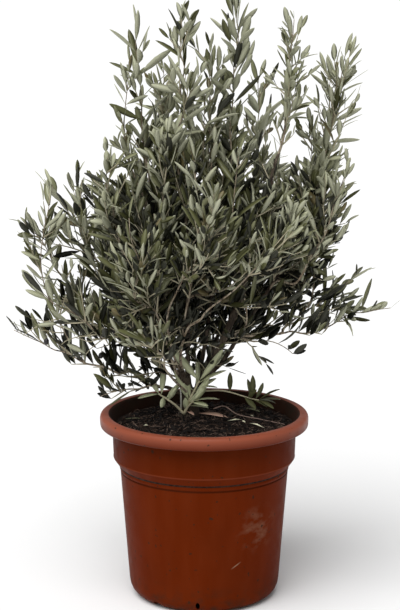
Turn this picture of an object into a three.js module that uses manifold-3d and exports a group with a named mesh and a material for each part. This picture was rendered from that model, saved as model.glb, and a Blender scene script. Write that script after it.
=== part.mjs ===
// A young many-stemmed olive bush in a round brown plastic nursery pot.
// Frame: origin at the centre of the pot's flat underside, +Z up, +X to the right, -Y to the front.
// Sizes are in millimetres and angles in degrees.
import * as THREE from 'three';
import { mergeVertices } from 'three/addons/utils/BufferGeometryUtils.js';
import Module from 'manifold-3d';

const wasm = await Module();
wasm.setup();

// ---- Driving dimensions ----------------------------------------------------------------------
const GAP = 0.3; // clearance between neighbouring solids

const POT_HEIGHT = 400;
const POT_SIDES = 28; // facets round the pot
const RIM_RADIUS = 225; // outside of the rolled rim
const RIM_ROLL = 27; // height of the rolled rim
const RIM_MOUTH = 203; // opening inside the roll
const RIM_LIP = 11; // rounding of the roll
const COLLAR_TOP_RADIUS = 198;
const COLLAR_FOOT_RADIUS = 195;
const COLLAR_FOOT = 298; // height of the collar's lower edge
const STEP_FOOT = 274; // height where the sloping step meets the body
const BODY_TOP_RADIUS = 181;
const BODY_FOOT_RADIUS = 163;
const FOOT_ROUNDING = 36; // rounded lower edge
const WALL = 4;
const FLOOR = 6;
const SCOOP_BEARINGS = [-41, 79, 199]; // drain scoops in the lower edge, measured round from the front
const SCOOP_WIDTH = 28;
const SCOOP_HEIGHT = 12;
const NOTCH_BEARINGS = [-5, -95, 175]; // smaller drain holes in the rounded edge
const NOTCH_WIDTH = 12;
const NOTCH_HEIGHT = 15;
const NOTCH_LEVEL = 14; // height of a notch's middle

const SOIL_LEVEL = 370; // at the pot wall
const MOUND = 14; // how far the soil rises towards the stems
const SOIL_UNEVEN = 2.5;
const SOIL_RINGS = 4;

const TRUNK_FOOT = new THREE.Vector3(-34, 34, SOIL_LEVEL + MOUND);
const TRUNK_RISE = new THREE.Vector3(8, -14, 62); // from the soil up to the fork
const TRUNK_RADIUS = 21;
const FORK_RADIUS = 19;
const FLARE = 13; // how far the root flare spreads past the trunk
const FLAT_SPOT = 48; // level soil round the trunk's foot

const TRUNK_SIDES = 12;
const TRUNK_STEPS = 5;
const BOUGH_SIDES = 7;
const BOUGH_STEPS = 5;
const TWIG_THICKNESS = 6; // where a bough runs out in its foliage
const MASS_SIDES = 7;
const MASS_RINGS = 6;
const UNEVEN = 0.15; // how far a mass swells and shrinks round its middle
const BLUNTNESS = 0.62; // below 1 gives a mass blunter ends
const OVERLAP = 0.2; // how far a mass runs past its share of the limb into the one below it

const BARK = 0x6b5a49;
const LEAF = 0x6f7563;

// ---- Limbs -----------------------------------------------------------------------------------
// Each limb rises from the fork to its tip, bare below and leafy above.
// tip: its furthest leaf. bare: the share of it without leaves. girths: width of each leafy mass on
// it, lowest first. out, up: where it turns, as shares of its reach and of its rise.
// flat: thickness over width of its masses. bough: thickness at the fork, where one shows.
const LIMBS = [
  { name: 'left_tall', tip: [-140, 40, 1236], bare: 0.36, girths: [150, 90], out: 0.9, up: 0.4, bough: 13 },
  { name: 'mid_left_tall', tip: [-46, -30, 1260], bare: 0.46, girths: [160, 100], out: 1.4, up: 0.5, bough: 12 },
  { name: 'mid_right_tall', tip: [62, 60, 1272], bare: 0.46, girths: [160, 102], out: 1, up: 0.5, bough: 12 },
  { name: 'right_tall', tip: [186, -10, 1260], bare: 0.38, girths: [140, 108], out: 0.9, up: 0.4, bough: 17 },
  { name: 'far_right_tall', tip: [300, 60, 1200], bare: 0.4, girths: [160, 130], out: 0.85, up: 0.4, bough: 12 },
  { name: 'left_shoulder', tip: [-205, -40, 990], bare: 0.58, girths: [120], out: 0.9, up: 0.45 },
  { name: 'left_lobe', tip: [-288, 30, 935], bare: 0.38, girths: [150, 120], out: 0.8, up: 0.35 },
  { name: 'left_mid', tip: [-394, -20, 840], bare: 0.3, girths: [170, 90], out: 0.6, up: 0.45, flat: 0.6 },
  { name: 'left_leaning', tip: [-366, -90, 700], bare: 0.45, girths: [110], out: 0.6, up: 0.6, flat: 0.6 },
  { name: 'left_low', tip: [-423, 20, 605], bare: 0.3, girths: [100, 76], out: 0.5, up: 0.2, flat: 0.6, bough: 9 },
  { name: 'left_under', tip: [-150, -30, 462], bare: 0.2, girths: [96], out: 0.5, up: 3.4, flat: 0.8 },
  { name: 'left_hanging', tip: [-236, -60, 452], bare: 0.4, girths: [62], out: 0.5, up: 3, flat: 0.6 },
  { name: 'right_curved', tip: [300, -30, 968], bare: 0.5, girths: [84], out: 0.8, up: 0.4 },
  { name: 'right_cluster', tip: [345, 30, 716], bare: 0.45, girths: [120], out: 0.6, up: 0.6, flat: 0.6 },
  { name: 'right_low', tip: [413, 0, 662], bare: 0.42, girths: [76, 64], out: 0.5, up: 0.74, flat: 0.6 },
  { name: 'right_hanging', tip: [196, -100, 536], bare: 0.5, girths: [56], out: 0.6, up: 2, flat: 0.8 },
  { name: 'back_left_tall', tip: [-90, 200, 1150], bare: 0.45, girths: [150, 110], out: 1, up: 0.4 },
  { name: 'back_right_tall', tip: [125, 220, 1130], bare: 0.45, girths: [150, 110], out: 1, up: 0.4, bough: 12 },
  { name: 'back_left', tip: [-220, 240, 900], bare: 0.45, girths: [150], out: 0.85, up: 0.4, bough: 11 },
  { name: 'back_right', tip: [240, 240, 920], bare: 0.45, girths: [150], out: 0.85, up: 0.4 },
  { name: 'back_middle', tip: [15, 360, 830], bare: 0.45, girths: [160], out: 0.85, up: 0.4 },
  { name: 'back_low', tip: [-60, 340, 600], bare: 0.35, girths: [120], out: 0.6, up: 0.6, flat: 0.6 },
  { name: 'front_left', tip: [-150, -240, 880], bare: 0.4, girths: [150], out: 0.85, up: 0.4 },
  { name: 'front_middle', tip: [20, -270, 930], bare: 0.5, girths: [150], out: 0.85, up: 0.4 },
  { name: 'front_right', tip: [170, -230, 900], bare: 0.52, girths: [140], out: 0.85, up: 0.4 },
  { name: 'front_low', tip: [-130, -300, 640], bare: 0.4, girths: [110], out: 0.6, up: 0.6, flat: 0.6 },
];

// ---- Core: tiers of leafy masses round the middle of the bush ----------------------------------
const CORE_CENTRE = new THREE.Vector2(0, 20);
const CORE_TIERS = [
  { name: 'core_low', count: 3, first: 45, step: 72, spread: 115, foot: 480, height: 190, girth: 190 },
  { name: 'core_high', count: 4, first: 20, step: 90, spread: 115, foot: 620, height: 210, girth: 225 },
];

// ---- Low shoots that stand on the soil beside the trunk ----------------------------------------
const LOW_SHOOTS = [
  { name: 'sprout', foot: [-44, -48, 388], tip: [-40, -62, 530], girth: 125, flat: 0.6 },
  { name: 'leaning_sprig', foot: [25, 66, 428], tip: [206, 30, 446], girth: 80, flat: 0.6 },
];

// ---- Solids ------------------------------------------------------------------------------------
function welded(geometry) {
  const bare = geometry.clone();
  bare.deleteAttribute('normal');
  bare.deleteAttribute('uv');
  return mergeVertices(bare, 1e-3);
}

function toSolid(geometry) {
  const closed = welded(geometry);
  const mesh = new wasm.Mesh({
    numProp: 3,
    vertProperties: closed.attributes.position.array,
    triVerts: new Uint32Array(closed.index.array),
  });
  return new wasm.Manifold(mesh);
}

function toGeometry(solid) {
  const mesh = solid.getMesh();
  const geometry = new THREE.BufferGeometry();
  geometry.setAttribute('position', new THREE.BufferAttribute(mesh.vertProperties, 3));
  geometry.setIndex(new THREE.BufferAttribute(mesh.triVerts, 1));
  return geometry;
}

// The same closed surface moved outward, so that what it cuts stays clear of it.
function swollen(geometry, distance) {
  const closed = welded(geometry);
  closed.computeVertexNormals();
  const { position, normal } = closed.attributes;
  const point = new THREE.Vector3();
  const out = new THREE.Vector3();
  for (let i = 0; i < position.count; i += 1) {
    point.fromBufferAttribute(position, i);
    out.fromBufferAttribute(normal, i);
    point.addScaledVector(out, distance);
    position.setXYZ(i, point.x, point.y, point.z);
  }
  return closed;
}

function largestPiece(solid) {
  const pieces = solid.decompose();
  pieces.sort((a, b) => b.volume() - a.volume());
  return pieces[0];
}

const plant = new THREE.Group();
const cutters = []; // what later pieces have to keep clear of

// Adds one piece, cut back where it meets the pieces already placed.
function place(name, geometry, material) {
  let solid = toSolid(geometry);
  for (const cutter of cutters) {
    solid = solid.subtract(cutter);
  }
  cutters.push(toSolid(swollen(geometry, 2 * GAP)));
  const mesh = new THREE.Mesh(toGeometry(largestPiece(solid)), material);
  mesh.name = name;
  plant.add(mesh);
}

// ---- Pot ---------------------------------------------------------------------------------------
function arc(centreX, centreY, radius, from, to, steps) {
  const points = [];
  for (let i = 0; i <= steps; i += 1) {
    const angle = THREE.MathUtils.degToRad(from + ((to - from) * i) / steps);
    points.push([centreX + radius * Math.cos(angle), centreY + radius * Math.sin(angle)]);
  }
  return points;
}

function turned(profile, sides) {
  const points = profile.map(([radius, height]) => new THREE.Vector2(radius, height));
  const geometry = new THREE.LatheGeometry(points, sides);
  geometry.rotateX(Math.PI / 2);
  return geometry;
}

const INNER_WALL = [
  [BODY_FOOT_RADIUS - FOOT_ROUNDING, FLOOR],
  [BODY_FOOT_RADIUS - WALL, FOOT_ROUNDING],
  [BODY_TOP_RADIUS - WALL, STEP_FOOT],
  [COLLAR_FOOT_RADIUS - WALL, COLLAR_FOOT + WALL],
];

function potProfile() {
  const rollFoot = POT_HEIGHT - RIM_ROLL;
  return [
    [0, 0],
    ...arc(BODY_FOOT_RADIUS - FOOT_ROUNDING, FOOT_ROUNDING, FOOT_ROUNDING, -90, 0, 3),
    [BODY_TOP_RADIUS, STEP_FOOT],
    [COLLAR_FOOT_RADIUS, COLLAR_FOOT],
    [COLLAR_TOP_RADIUS, rollFoot],
    ...arc(RIM_RADIUS - WALL, rollFoot + WALL, WALL, -90, 0, 1),
    ...arc(RIM_RADIUS - RIM_LIP, POT_HEIGHT - RIM_LIP, RIM_LIP, 0, 90, 3),
    ...arc(RIM_MOUTH + RIM_LIP / 2, POT_HEIGHT - RIM_LIP / 2, RIM_LIP / 2, 90, 180, 1),
    [COLLAR_TOP_RADIUS - WALL, rollFoot],
    ...[...INNER_WALL].reverse(),
    [0, FLOOR],
  ];
}

// An upright oval bar that points outward from the pot's axis, turned round from the front.
function drainCutter(bearing, width, height, level) {
  const cutter = new THREE.CylinderGeometry(0.5, 0.5, 2 * FOOT_ROUNDING, 8);
  cutter.scale(width, 1, height);
  cutter.translate(0, -(BODY_FOOT_RADIUS - FOOT_ROUNDING / 4), level);
  cutter.rotateZ(THREE.MathUtils.degToRad(bearing));
  return toSolid(cutter);
}

function addPot() {
  let solid = toSolid(turned(potProfile(), POT_SIDES));
  for (const bearing of SCOOP_BEARINGS) {
    solid = solid.subtract(drainCutter(bearing, SCOOP_WIDTH, 2 * SCOOP_HEIGHT, 0));
  }
  for (const bearing of NOTCH_BEARINGS) {
    solid = solid.subtract(drainCutter(bearing, NOTCH_WIDTH, NOTCH_HEIGHT, NOTCH_LEVEL));
  }
  const material = new THREE.MeshStandardMaterial({ color: 0x7a3a22, roughness: 0.5, metalness: 0 });
  const mesh = new THREE.Mesh(toGeometry(solid), material);
  mesh.name = 'pot';
  plant.add(mesh);
}

// ---- Soil: fills the pot and rises a little towards the stems, level under the trunk -----------
function soilHeight(x, y) {
  const fromAxis = Math.hypot(x, y) / COLLAR_TOP_RADIUS;
  const fromTrunk = Math.hypot(x - TRUNK_FOOT.x, y - TRUNK_FOOT.y);
  const levelled = THREE.MathUtils.smoothstep(fromTrunk, FLAT_SPOT, 2 * FLAT_SPOT);
  const ripple = Math.sin(x / 19 + 1) * Math.cos(y / 23) + Math.sin((x + y) / 31);
  const fallen = MOUND * fromAxis * fromAxis - (SOIL_UNEVEN / 2) * ripple;
  return SOIL_LEVEL + MOUND - GAP - levelled * Math.max(fallen, 0);
}

function addSoil() {
  const topRadius = COLLAR_TOP_RADIUS - WALL - GAP;
  const profile = [
    [0, FLOOR + GAP],
    ...INNER_WALL.map(([radius, height]) => [radius - GAP, height + GAP]),
    [topRadius, SOIL_LEVEL],
  ];
  for (let ring = SOIL_RINGS - 1; ring >= 0; ring -= 1) {
    profile.push([(topRadius * ring) / SOIL_RINGS, SOIL_LEVEL + GAP]);
  }
  const geometry = turned(profile, POT_SIDES);
  const { position } = geometry.attributes;
  for (let i = 0; i < position.count; i += 1) {
    if (position.getZ(i) >= SOIL_LEVEL) {
      position.setZ(i, soilHeight(position.getX(i), position.getY(i)));
    }
  }
  const material = new THREE.MeshStandardMaterial({ color: 0x2a211c, roughness: 0.95, metalness: 0 });
  const mesh = new THREE.Mesh(geometry, material);
  mesh.name = 'soil';
  plant.add(mesh);
}

// ---- Trunk: a short leaning stump with a root flare, cut flat at the soil and at the fork ------
const WOOD = new THREE.MeshStandardMaterial({ color: BARK, roughness: 0.85, metalness: 0 });

function addTrunk() {
  const geometry = new THREE.CylinderGeometry(1, 1, 1, TRUNK_SIDES, TRUNK_STEPS);
  const { position } = geometry.attributes;
  for (let i = 0; i < position.count; i += 1) {
    const x = position.getX(i);
    const y = -position.getZ(i);
    const t = position.getY(i) + 0.5;
    const ribs = 1 + 0.3 * Math.cos(5 * Math.atan2(y, x));
    const radius = THREE.MathUtils.lerp(TRUNK_RADIUS, FORK_RADIUS, t) + FLARE * ribs * Math.exp(-6 * t);
    const centre = TRUNK_FOOT.clone().addScaledVector(TRUNK_RISE, t);
    position.setXYZ(i, centre.x + radius * x, centre.y + radius * y, centre.z);
  }
  place('trunk', geometry, WOOD);
}

// ---- Limbs -------------------------------------------------------------------------------------
function limbCurve({ tip, out, up }) {
  const end = new THREE.Vector3(...tip);
  const fork = TRUNK_FOOT.clone().add(TRUNK_RISE);
  const start = fork.clone();
  const aside = new THREE.Vector3(end.x - fork.x, end.y - fork.y, 0).setLength(FORK_RADIUS / 2);
  start.add(aside);
  start.z -= FORK_RADIUS / 2;
  const turn = new THREE.Vector3(
    THREE.MathUtils.lerp(start.x, end.x, out),
    THREE.MathUtils.lerp(start.y, end.y, out),
    THREE.MathUtils.lerp(start.z, end.z, up),
  );
  return new THREE.QuadraticBezierCurve3(start, turn, end);
}

function stretchOf(curve, from, to, steps) {
  const points = [];
  for (let i = 0; i <= steps; i += 1) {
    points.push(curve.getPoint(from + ((to - from) * i) / steps));
  }
  return new THREE.CatmullRomCurve3(points);
}

// Bends a shape that runs from 0 to 1 along Y round a curve. radiusAt gives its half width there.
// Upright curves are flattened from front to back, and lying ones from above.
function bentAlong(geometry, curve, radiusAt, flat) {
  const chord = curve.getPoint(1).sub(curve.getPoint(0)).normalize();
  const isUpright = chord.z > 0.6;
  const thin = isUpright ? new THREE.Vector3(0, 1, 0) : new THREE.Vector3(0, 0, 1);
  const { position } = geometry.attributes;
  for (let i = 0; i < position.count; i += 1) {
    const x = position.getX(i);
    const y = position.getZ(i);
    const t = THREE.MathUtils.clamp(position.getY(i), 0, 1);
    const tangent = curve.getTangent(t);
    const across = thin.clone().cross(tangent).normalize();
    const through = across.clone().cross(tangent);
    const radius = radiusAt(t, Math.atan2(y, x));
    const point = curve.getPoint(t);
    point.addScaledVector(across, radius * x);
    point.addScaledVector(through, radius * y * flat);
    position.setXYZ(i, point.x, point.y, point.z);
  }
  return geometry;
}

function boughGeometry(curve, thickness) {
  const geometry = new THREE.CylinderGeometry(1, 1, 1, BOUGH_SIDES, BOUGH_STEPS);
  geometry.translate(0, 0.5, 0);
  const radiusAt = (t) => THREE.MathUtils.lerp(thickness, TWIG_THICKNESS, t) / 2;
  return bentAlong(geometry, curve, radiusAt, 1);
}

let massCount = 0;
function massGeometry(curve, girth, flat) {
  massCount += 1;
  const turn = massCount * 1.7; // each mass has its lumps in other places
  const geometry = new THREE.SphereGeometry(1, MASS_SIDES, MASS_RINGS);
  const { position } = geometry.attributes;
  for (let i = 0; i < position.count; i += 1) {
    const t = 1 - Math.acos(THREE.MathUtils.clamp(position.getY(i), -1, 1)) / Math.PI;
    const ring = Math.hypot(position.getX(i), position.getZ(i));
    const scale = ring > 1e-6 ? 1 / ring : 0;
    position.setXYZ(i, position.getX(i) * scale, t, position.getZ(i) * scale);
  }
  const radiusAt = (t, angle) => {
    const lumps = Math.sin(3 * angle + 4 * t + turn) + Math.cos(2 * angle - 7 * t + 2 * turn);
    return (girth / 2) * Math.sin(Math.PI * t ** 0.9) ** BLUNTNESS * (1 + UNEVEN * lumps);
  };
  return bentAlong(geometry, curve, radiusAt, flat);
}

const FOLIAGE = new THREE.MeshStandardMaterial({ color: LEAF, roughness: 0.7, metalness: 0 });

function addLimbMasses(limb) {
  const curve = limbCurve(limb);
  const share = (1 - limb.bare) / limb.girths.length;
  limb.girths.forEach((girth, i) => {
    const from = limb.bare + share * i;
    const stretch = stretchOf(curve, from - OVERLAP * share, from + share, 4);
    place(`${limb.name}_${i + 1}`, massGeometry(stretch, girth, limb.flat ?? 0.9), FOLIAGE);
  });
}

function addBough(limb) {
  const stretch = stretchOf(limbCurve(limb), 0, limb.bare + 0.1, 4);
  place(`bough_${limb.name}`, boughGeometry(stretch, limb.bough), WOOD);
}

// ---- Core and low shoots -----------------------------------------------------------------------
function addCoreTier({ name, count, first, step, spread, foot, height, girth }) {
  for (let i = 0; i < count; i += 1) {
    const bearing = THREE.MathUtils.degToRad(first + step * i);
    const x = CORE_CENTRE.x + spread * Math.cos(bearing);
    const y = CORE_CENTRE.y + spread * Math.sin(bearing);
    const bottom = new THREE.Vector3(x * 0.9, y * 0.9, foot);
    const top = new THREE.Vector3(x * 1.1, y * 1.1, foot + height);
    place(`${name}_${i + 1}`, massGeometry(new THREE.LineCurve3(bottom, top), girth, 1), FOLIAGE);
  }
}

function addLowShoot({ name, foot, tip, girth, flat }) {
  const curve = new THREE.LineCurve3(new THREE.Vector3(...foot), new THREE.Vector3(...tip));
  place(name, massGeometry(curve, girth, flat), FOLIAGE);
}

addPot();
addSoil();
addTrunk();
LOW_SHOOTS.forEach(addLowShoot);
LIMBS.forEach(addLimbMasses);
CORE_TIERS.forEach(addCoreTier);
LIMBS.filter((limb) => limb.bough).forEach(addBough);

export default plant;
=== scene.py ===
# A young olive bush with many stems, growing in a round brown nursery pot of bark compost.
# Metres, +Z up, -Y to the front; the pot stands on its flat underside at the origin.
import math

import bmesh
import bpy
import numpy as np
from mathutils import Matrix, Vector, noise
from mathutils.bvhtree import BVHTree


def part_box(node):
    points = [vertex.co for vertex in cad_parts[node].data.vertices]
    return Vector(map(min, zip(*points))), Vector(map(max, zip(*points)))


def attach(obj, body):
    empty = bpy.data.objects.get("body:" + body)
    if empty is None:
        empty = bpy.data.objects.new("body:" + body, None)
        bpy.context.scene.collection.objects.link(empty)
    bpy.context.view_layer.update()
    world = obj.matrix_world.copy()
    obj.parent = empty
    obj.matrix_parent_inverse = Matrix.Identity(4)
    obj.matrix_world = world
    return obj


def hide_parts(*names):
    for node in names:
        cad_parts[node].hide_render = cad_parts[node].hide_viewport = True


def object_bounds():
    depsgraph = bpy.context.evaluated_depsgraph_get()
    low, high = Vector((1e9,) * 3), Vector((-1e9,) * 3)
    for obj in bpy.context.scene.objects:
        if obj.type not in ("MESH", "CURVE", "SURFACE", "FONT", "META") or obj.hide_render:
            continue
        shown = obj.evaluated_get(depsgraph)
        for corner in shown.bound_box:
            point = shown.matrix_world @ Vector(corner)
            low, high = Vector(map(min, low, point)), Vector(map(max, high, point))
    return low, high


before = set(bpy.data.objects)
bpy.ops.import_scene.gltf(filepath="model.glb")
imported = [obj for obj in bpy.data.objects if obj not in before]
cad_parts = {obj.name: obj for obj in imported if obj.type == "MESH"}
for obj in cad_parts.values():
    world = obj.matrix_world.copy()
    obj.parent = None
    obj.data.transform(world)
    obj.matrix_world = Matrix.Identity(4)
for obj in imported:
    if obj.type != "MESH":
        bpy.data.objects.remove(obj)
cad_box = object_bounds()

# ---- Pot ---------------------------------------------------------------------------------------
# A 40 litre nursery container, injection moulded in one shot of brown polypropylene. The collar and
# the rolled rim stiffen its thin wall, and drain openings are moulded into the rounded lower edge.
POT_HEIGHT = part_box("pot")[1].z
RIM_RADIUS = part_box("pot")[1].x
POT_FLOOR = 0.006
LIP_FOOT = POT_HEIGHT - 0.027
COLLAR_FOOT = 0.296
RIDGE = 0.3062
BEAD_FOOT = 0.2735
CREASES = (BEAD_FOOT + 0.0012, BEAD_FOOT + 0.0132, LIP_FOOT - 0.001)
POT_FACETS = 240
POT_WARP = 0.0016
FILLET_STEPS = 7
CRISP_EDGE = 35
INWARD_FACING = -0.45
# corners of the pot's outline: radius, height and how far each is rounded off
POT_CORNERS = [
    # underside and wall
    (0, 0, 0), (0.1603, 0, 0.034), (0.1809, BEAD_FOOT, 0),
    # bead, with a groove on either side
    (0.1797, BEAD_FOOT + 0.0018, 0.0008), (0.1832, BEAD_FOOT + 0.0070, 0.004),
    (0.1812, BEAD_FOOT + 0.0130, 0.0008),
    # step out to the collar, with the ridge at its foot
    (0.1850, 0.2895, 0.001), (0.1950, 0.3035, 0.004), (0.1964, RIDGE, 0.001),
    (0.1957, RIDGE + 0.0024, 0.001),
    # rolled rim
    (0.198, LIP_FOOT, 0.003), (0.2235, LIP_FOOT, 0.005), (RIM_RADIUS, POT_HEIGHT, 0.015),
    (0.203, POT_HEIGHT, 0.007),
    # down the inner face to the floor
    (0.194, LIP_FOOT, 0.006), (0.191, 0.302, 0.005), (0.177, 0.278, 0.005),
    (0.157, POT_FLOOR, 0.03), (0, POT_FLOOR, 0),
]
# drain openings, cut by bars that lie across the lower edge: how wide, how high and at what level
DRAIN_RADIUS = 0.156
DRAIN_REACH = 0.07
SCOOP_BEARINGS = (-41, 79, 199)
SCOOP_SIZE = (0.028, 0.030)
NOTCH_BEARINGS = (-5, -95, 175)
NOTCH_SIZE = (0.009, 0.017)
NOTCH_LEVEL = 0.020
BROWN = (0.112, 0.0140, 0.0014)
BROWN_WORN = (0.140, 0.024, 0.0060)
# painted light: a paler brown painted on the rim's top and along the ridge, for the light from above and its
# highlight
PAINTED_LIGHT_BROWN = (0.258, 0.066, 0.034)
SCUFF_GREY = (0.30, 0.19, 0.12)
# grime of soil on the outside; on the inner wall it is also painted shade
GRIME_AND_SHADE = (0.030, 0.017, 0.010)
# painted shade: the dark brown laid into the creases and under the rim, where shade falls
PAINTED_SHADE_BROWN = (0.026, 0.005, 0.001)
# the inner wall's brown: compost stains, and painted shade
WALL_STAIN_AND_SHADE = (0.040, 0.012, 0.006)
SCUFF_PLACE = (0.112, -0.130, 0.182)
SCUFF_RADIUS = 0.062
SCRATCH_PLACE = (0.066, -0.154, 0.108)
SCRATCH_REACH = 0.014
ACROSS_SCRATCH = (-0.55, 0, 0.83)
SPLASH_TOP = 0.07


def filleted(corners):
    """The points of an outline whose corners (radius, height, fillet) are rounded off."""
    outline = []
    for i, (x, z, fillet) in enumerate(corners):
        here = np.array([x, z])
        if fillet == 0 or i in (0, len(corners) - 1):
            outline.append(here)
            continue
        before = np.array(corners[i - 1][:2]) - here
        after = np.array(corners[i + 1][:2]) - here
        start = here + before / np.linalg.norm(before) * min(fillet, np.linalg.norm(before) * 0.49)
        end = here + after / np.linalg.norm(after) * min(fillet, np.linalg.norm(after) * 0.49)
        for t in np.linspace(0, 1, FILLET_STEPS):
            outline.append((1 - t) ** 2 * start + 2 * t * (1 - t) * here + t * t * end)
    return outline


def ring_at(shape, radius, height, facets):
    """A round of points at a height, or the one point there if it lies on the axis."""
    if radius < 1e-6:
        return [shape.verts.new((0, 0, height))]
    angles = [2 * math.pi * i / facets for i in range(facets)]
    return [shape.verts.new((radius * math.cos(a), radius * math.sin(a), height)) for a in angles]


def skin_rings(shape, rings, facets):
    """Closes the surface between each ring of points and the next."""
    for low, high in zip(rings, rings[1:]):
        for i in range(facets):
            j = (i + 1) % facets
            if len(low) == 1:
                shape.faces.new((low[0], high[j], high[i]))
            elif len(high) == 1:
                shape.faces.new((low[i], low[j], high[0]))
            else:
                shape.faces.new((low[i], low[j], high[j], high[i]))
    bmesh.ops.recalc_face_normals(shape, faces=shape.faces)


def turned_pot(outline):
    """A closed body turned round the pot's axis, a little out of true as thin plastic is."""
    shape = bmesh.new()
    rings = [ring_at(shape, radius, height, POT_FACETS) for radius, height in outline]
    for vert in shape.verts:
        a = math.atan2(vert.co.y, vert.co.x)
        warp = POT_WARP * (1 + math.sin(2 * a + 0.7) * 0.6 + math.sin(5 * a) * 0.4)
        vert.co.x *= 1 - warp
        vert.co.y *= 1 - warp
    skin_rings(shape, rings, POT_FACETS)
    return finished("nursery_pot", shape)


def finished(name, shape, sharp=CRISP_EDGE):
    """Turns a bmesh into an object with soft shading, but for edges sharper than an angle."""
    mesh = bpy.data.meshes.new(name)
    shape.to_mesh(mesh)
    shape.free()
    mesh.shade_smooth()
    mesh.set_sharp_from_angle(angle=math.radians(sharp))
    made = bpy.data.objects.new(name, mesh)
    bpy.context.scene.collection.objects.link(made)
    return made


def apply_modifiers(piece):
    """Bakes the piece's modifiers into its mesh."""
    graph = bpy.context.evaluated_depsgraph_get()
    mesh = bpy.data.meshes.new_from_object(piece.evaluated_get(graph))
    piece.modifiers.clear()
    piece.data = mesh


def drain_cutter(bearing, size, level):
    """A rounded bar that points out through the pot's lower edge."""
    shape = bmesh.new()
    bmesh.ops.create_cone(shape, cap_ends=True, segments=20, radius1=0.5, radius2=0.5, depth=DRAIN_REACH)
    for vert in shape.verts:
        x, y, z = vert.co
        vert.co = (x * size[0], z - DRAIN_RADIUS, y * size[1] + level)
    turn = math.radians(bearing)
    for vert in shape.verts:
        x, y, z = vert.co
        vert.co = (x * math.cos(turn) - y * math.sin(turn), x * math.sin(turn) + y * math.cos(turn), z)
    bmesh.ops.recalc_face_normals(shape, faces=shape.faces)
    return finished("drain_cutter", shape)


def node_of(tree, kind, inputs=None, **settings):
    """Adds a shader node; inputs are numbers, colours or the sockets that feed them."""
    made = tree.nodes.new(kind)
    for key, value in settings.items():
        setattr(made, key, value)
    for key, value in (inputs or {}).items():
        if isinstance(value, bpy.types.NodeSocket):
            tree.links.new(value, made.inputs[key])
        else:
            made.inputs[key].default_value = value
    return made


def rgba(colour):
    """The colour with full cover, as a socket wants it."""
    return (*colour, 1.0)


def blank_material(name, roughness, specular=0.5):
    """A new material, with its tree and its shader."""
    material = bpy.data.materials.new(name)
    material.use_nodes = True
    tree = material.node_tree
    shader = tree.nodes["Principled BSDF"]
    shader.inputs["Roughness"].default_value = roughness
    shader.inputs["Specular IOR Level"].default_value = specular
    return material, tree, shader


def own_place(tree):
    """Where a point of the piece is, in the piece's own metres."""
    return node_of(tree, "ShaderNodeTexCoord").outputs["Object"]


def speckle(tree, scale, detail=4.0, stretch=(1, 1, 1)):
    """Noise over the piece, drawn out along an axis where stretch is small."""
    drawn = node_of(tree, "ShaderNodeMapping", {"Vector": own_place(tree), "Scale": stretch}).outputs[0]
    grain = node_of(tree, "ShaderNodeTexNoise", {"Vector": drawn, "Scale": scale, "Detail": detail})
    return grain.outputs["Fac"]


def ramp(tree, factor, low, high, start=0.0, end=1.0):
    """Rescales a factor from low..high to start..end, held at both ends."""
    made = node_of(tree, "ShaderNodeMapRange", {
        "Value": factor, "From Min": low, "From Max": high, "To Min": start, "To Max": end})
    return made.outputs["Result"]


def mixed(tree, factor, first, second):
    """One colour over another; each is a colour or a socket."""
    made = node_of(tree, "ShaderNodeMix", {"Factor": factor}, data_type="RGBA")
    for socket, value in ((made.inputs[6], first), (made.inputs[7], second)):
        if isinstance(value, bpy.types.NodeSocket):
            tree.links.new(value, socket)
        else:
            socket.default_value = rgba(value)
    return made.outputs[2]


def times(tree, first, second):
    """Two factors multiplied."""
    return node_of(tree, "ShaderNodeMath", {0: first, 1: second}, operation="MULTIPLY").outputs[0]


def near(tree, place, radius):
    """1 at a place on the piece, fading to 0 at the radius."""
    away = node_of(tree, "ShaderNodeVectorMath", {0: own_place(tree), 1: place}, operation="DISTANCE")
    return ramp(tree, away.outputs["Value"], radius, radius * 0.25)


def relief(tree, shader, height, depth):
    """Fine relief from a pattern, so many metres deep."""
    bump = node_of(tree, "ShaderNodeBump", {"Height": height, "Distance": depth, "Strength": 1.0})
    tree.links.new(bump.outputs["Normal"], shader.inputs["Normal"])


def band(tree, height, level, half):
    """1 on a level round the pot, fading to 0 above and below it."""
    return times(tree, ramp(tree, height, level - half, level - 0.3 * half),
                 ramp(tree, height, level + half, level + 0.3 * half))


def aged_plastic(tree, height):
    """The pot's colour: cloudy and streaked, with painted light along the rim and the ridge, and painted
    shade in the creases and under the rim.
    """
    cloud = ramp(tree, speckle(tree, 9.0, 5.0), 0.35, 0.7)
    streaks = ramp(tree, speckle(tree, 30.0, 4.0, (1, 1, 0.15)), 0.4, 0.75, 0.0, 0.35)
    colour = mixed(tree, cloud, BROWN, tuple(0.86 * c for c in BROWN))
    colour = mixed(tree, streaks, colour, BROWN_WORN)
    # painted light on the rim's top, where the light from above falls
    rim_painted_light = ramp(tree, height, LIP_FOOT + 0.003, POT_HEIGHT - 0.006)
    colour = mixed(tree, rim_painted_light, colour, PAINTED_LIGHT_BROWN)
    # painted shade in the creases by the bead and under the lip
    for level in CREASES:
        colour = mixed(tree, times(tree, band(tree, height, level, 0.0030), 0.65), colour, PAINTED_SHADE_BROWN)
    # a painted highlight along the ridge at the collar's foot
    colour = mixed(tree, times(tree, band(tree, height, RIDGE, 0.0022), 0.30), colour, PAINTED_LIGHT_BROWN)
    # the rim's shadow painted on the collar, darker towards the rim
    on_collar = times(tree, ramp(tree, height, LIP_FOOT, LIP_FOOT - 0.003),
                      ramp(tree, height, COLLAR_FOOT, RIDGE))
    rim_painted_shadow = times(tree, ramp(tree, height, RIDGE, LIP_FOOT, 0.12, 0.30), on_collar)
    return mixed(tree, rim_painted_shadow, colour, PAINTED_SHADE_BROWN)


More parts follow.
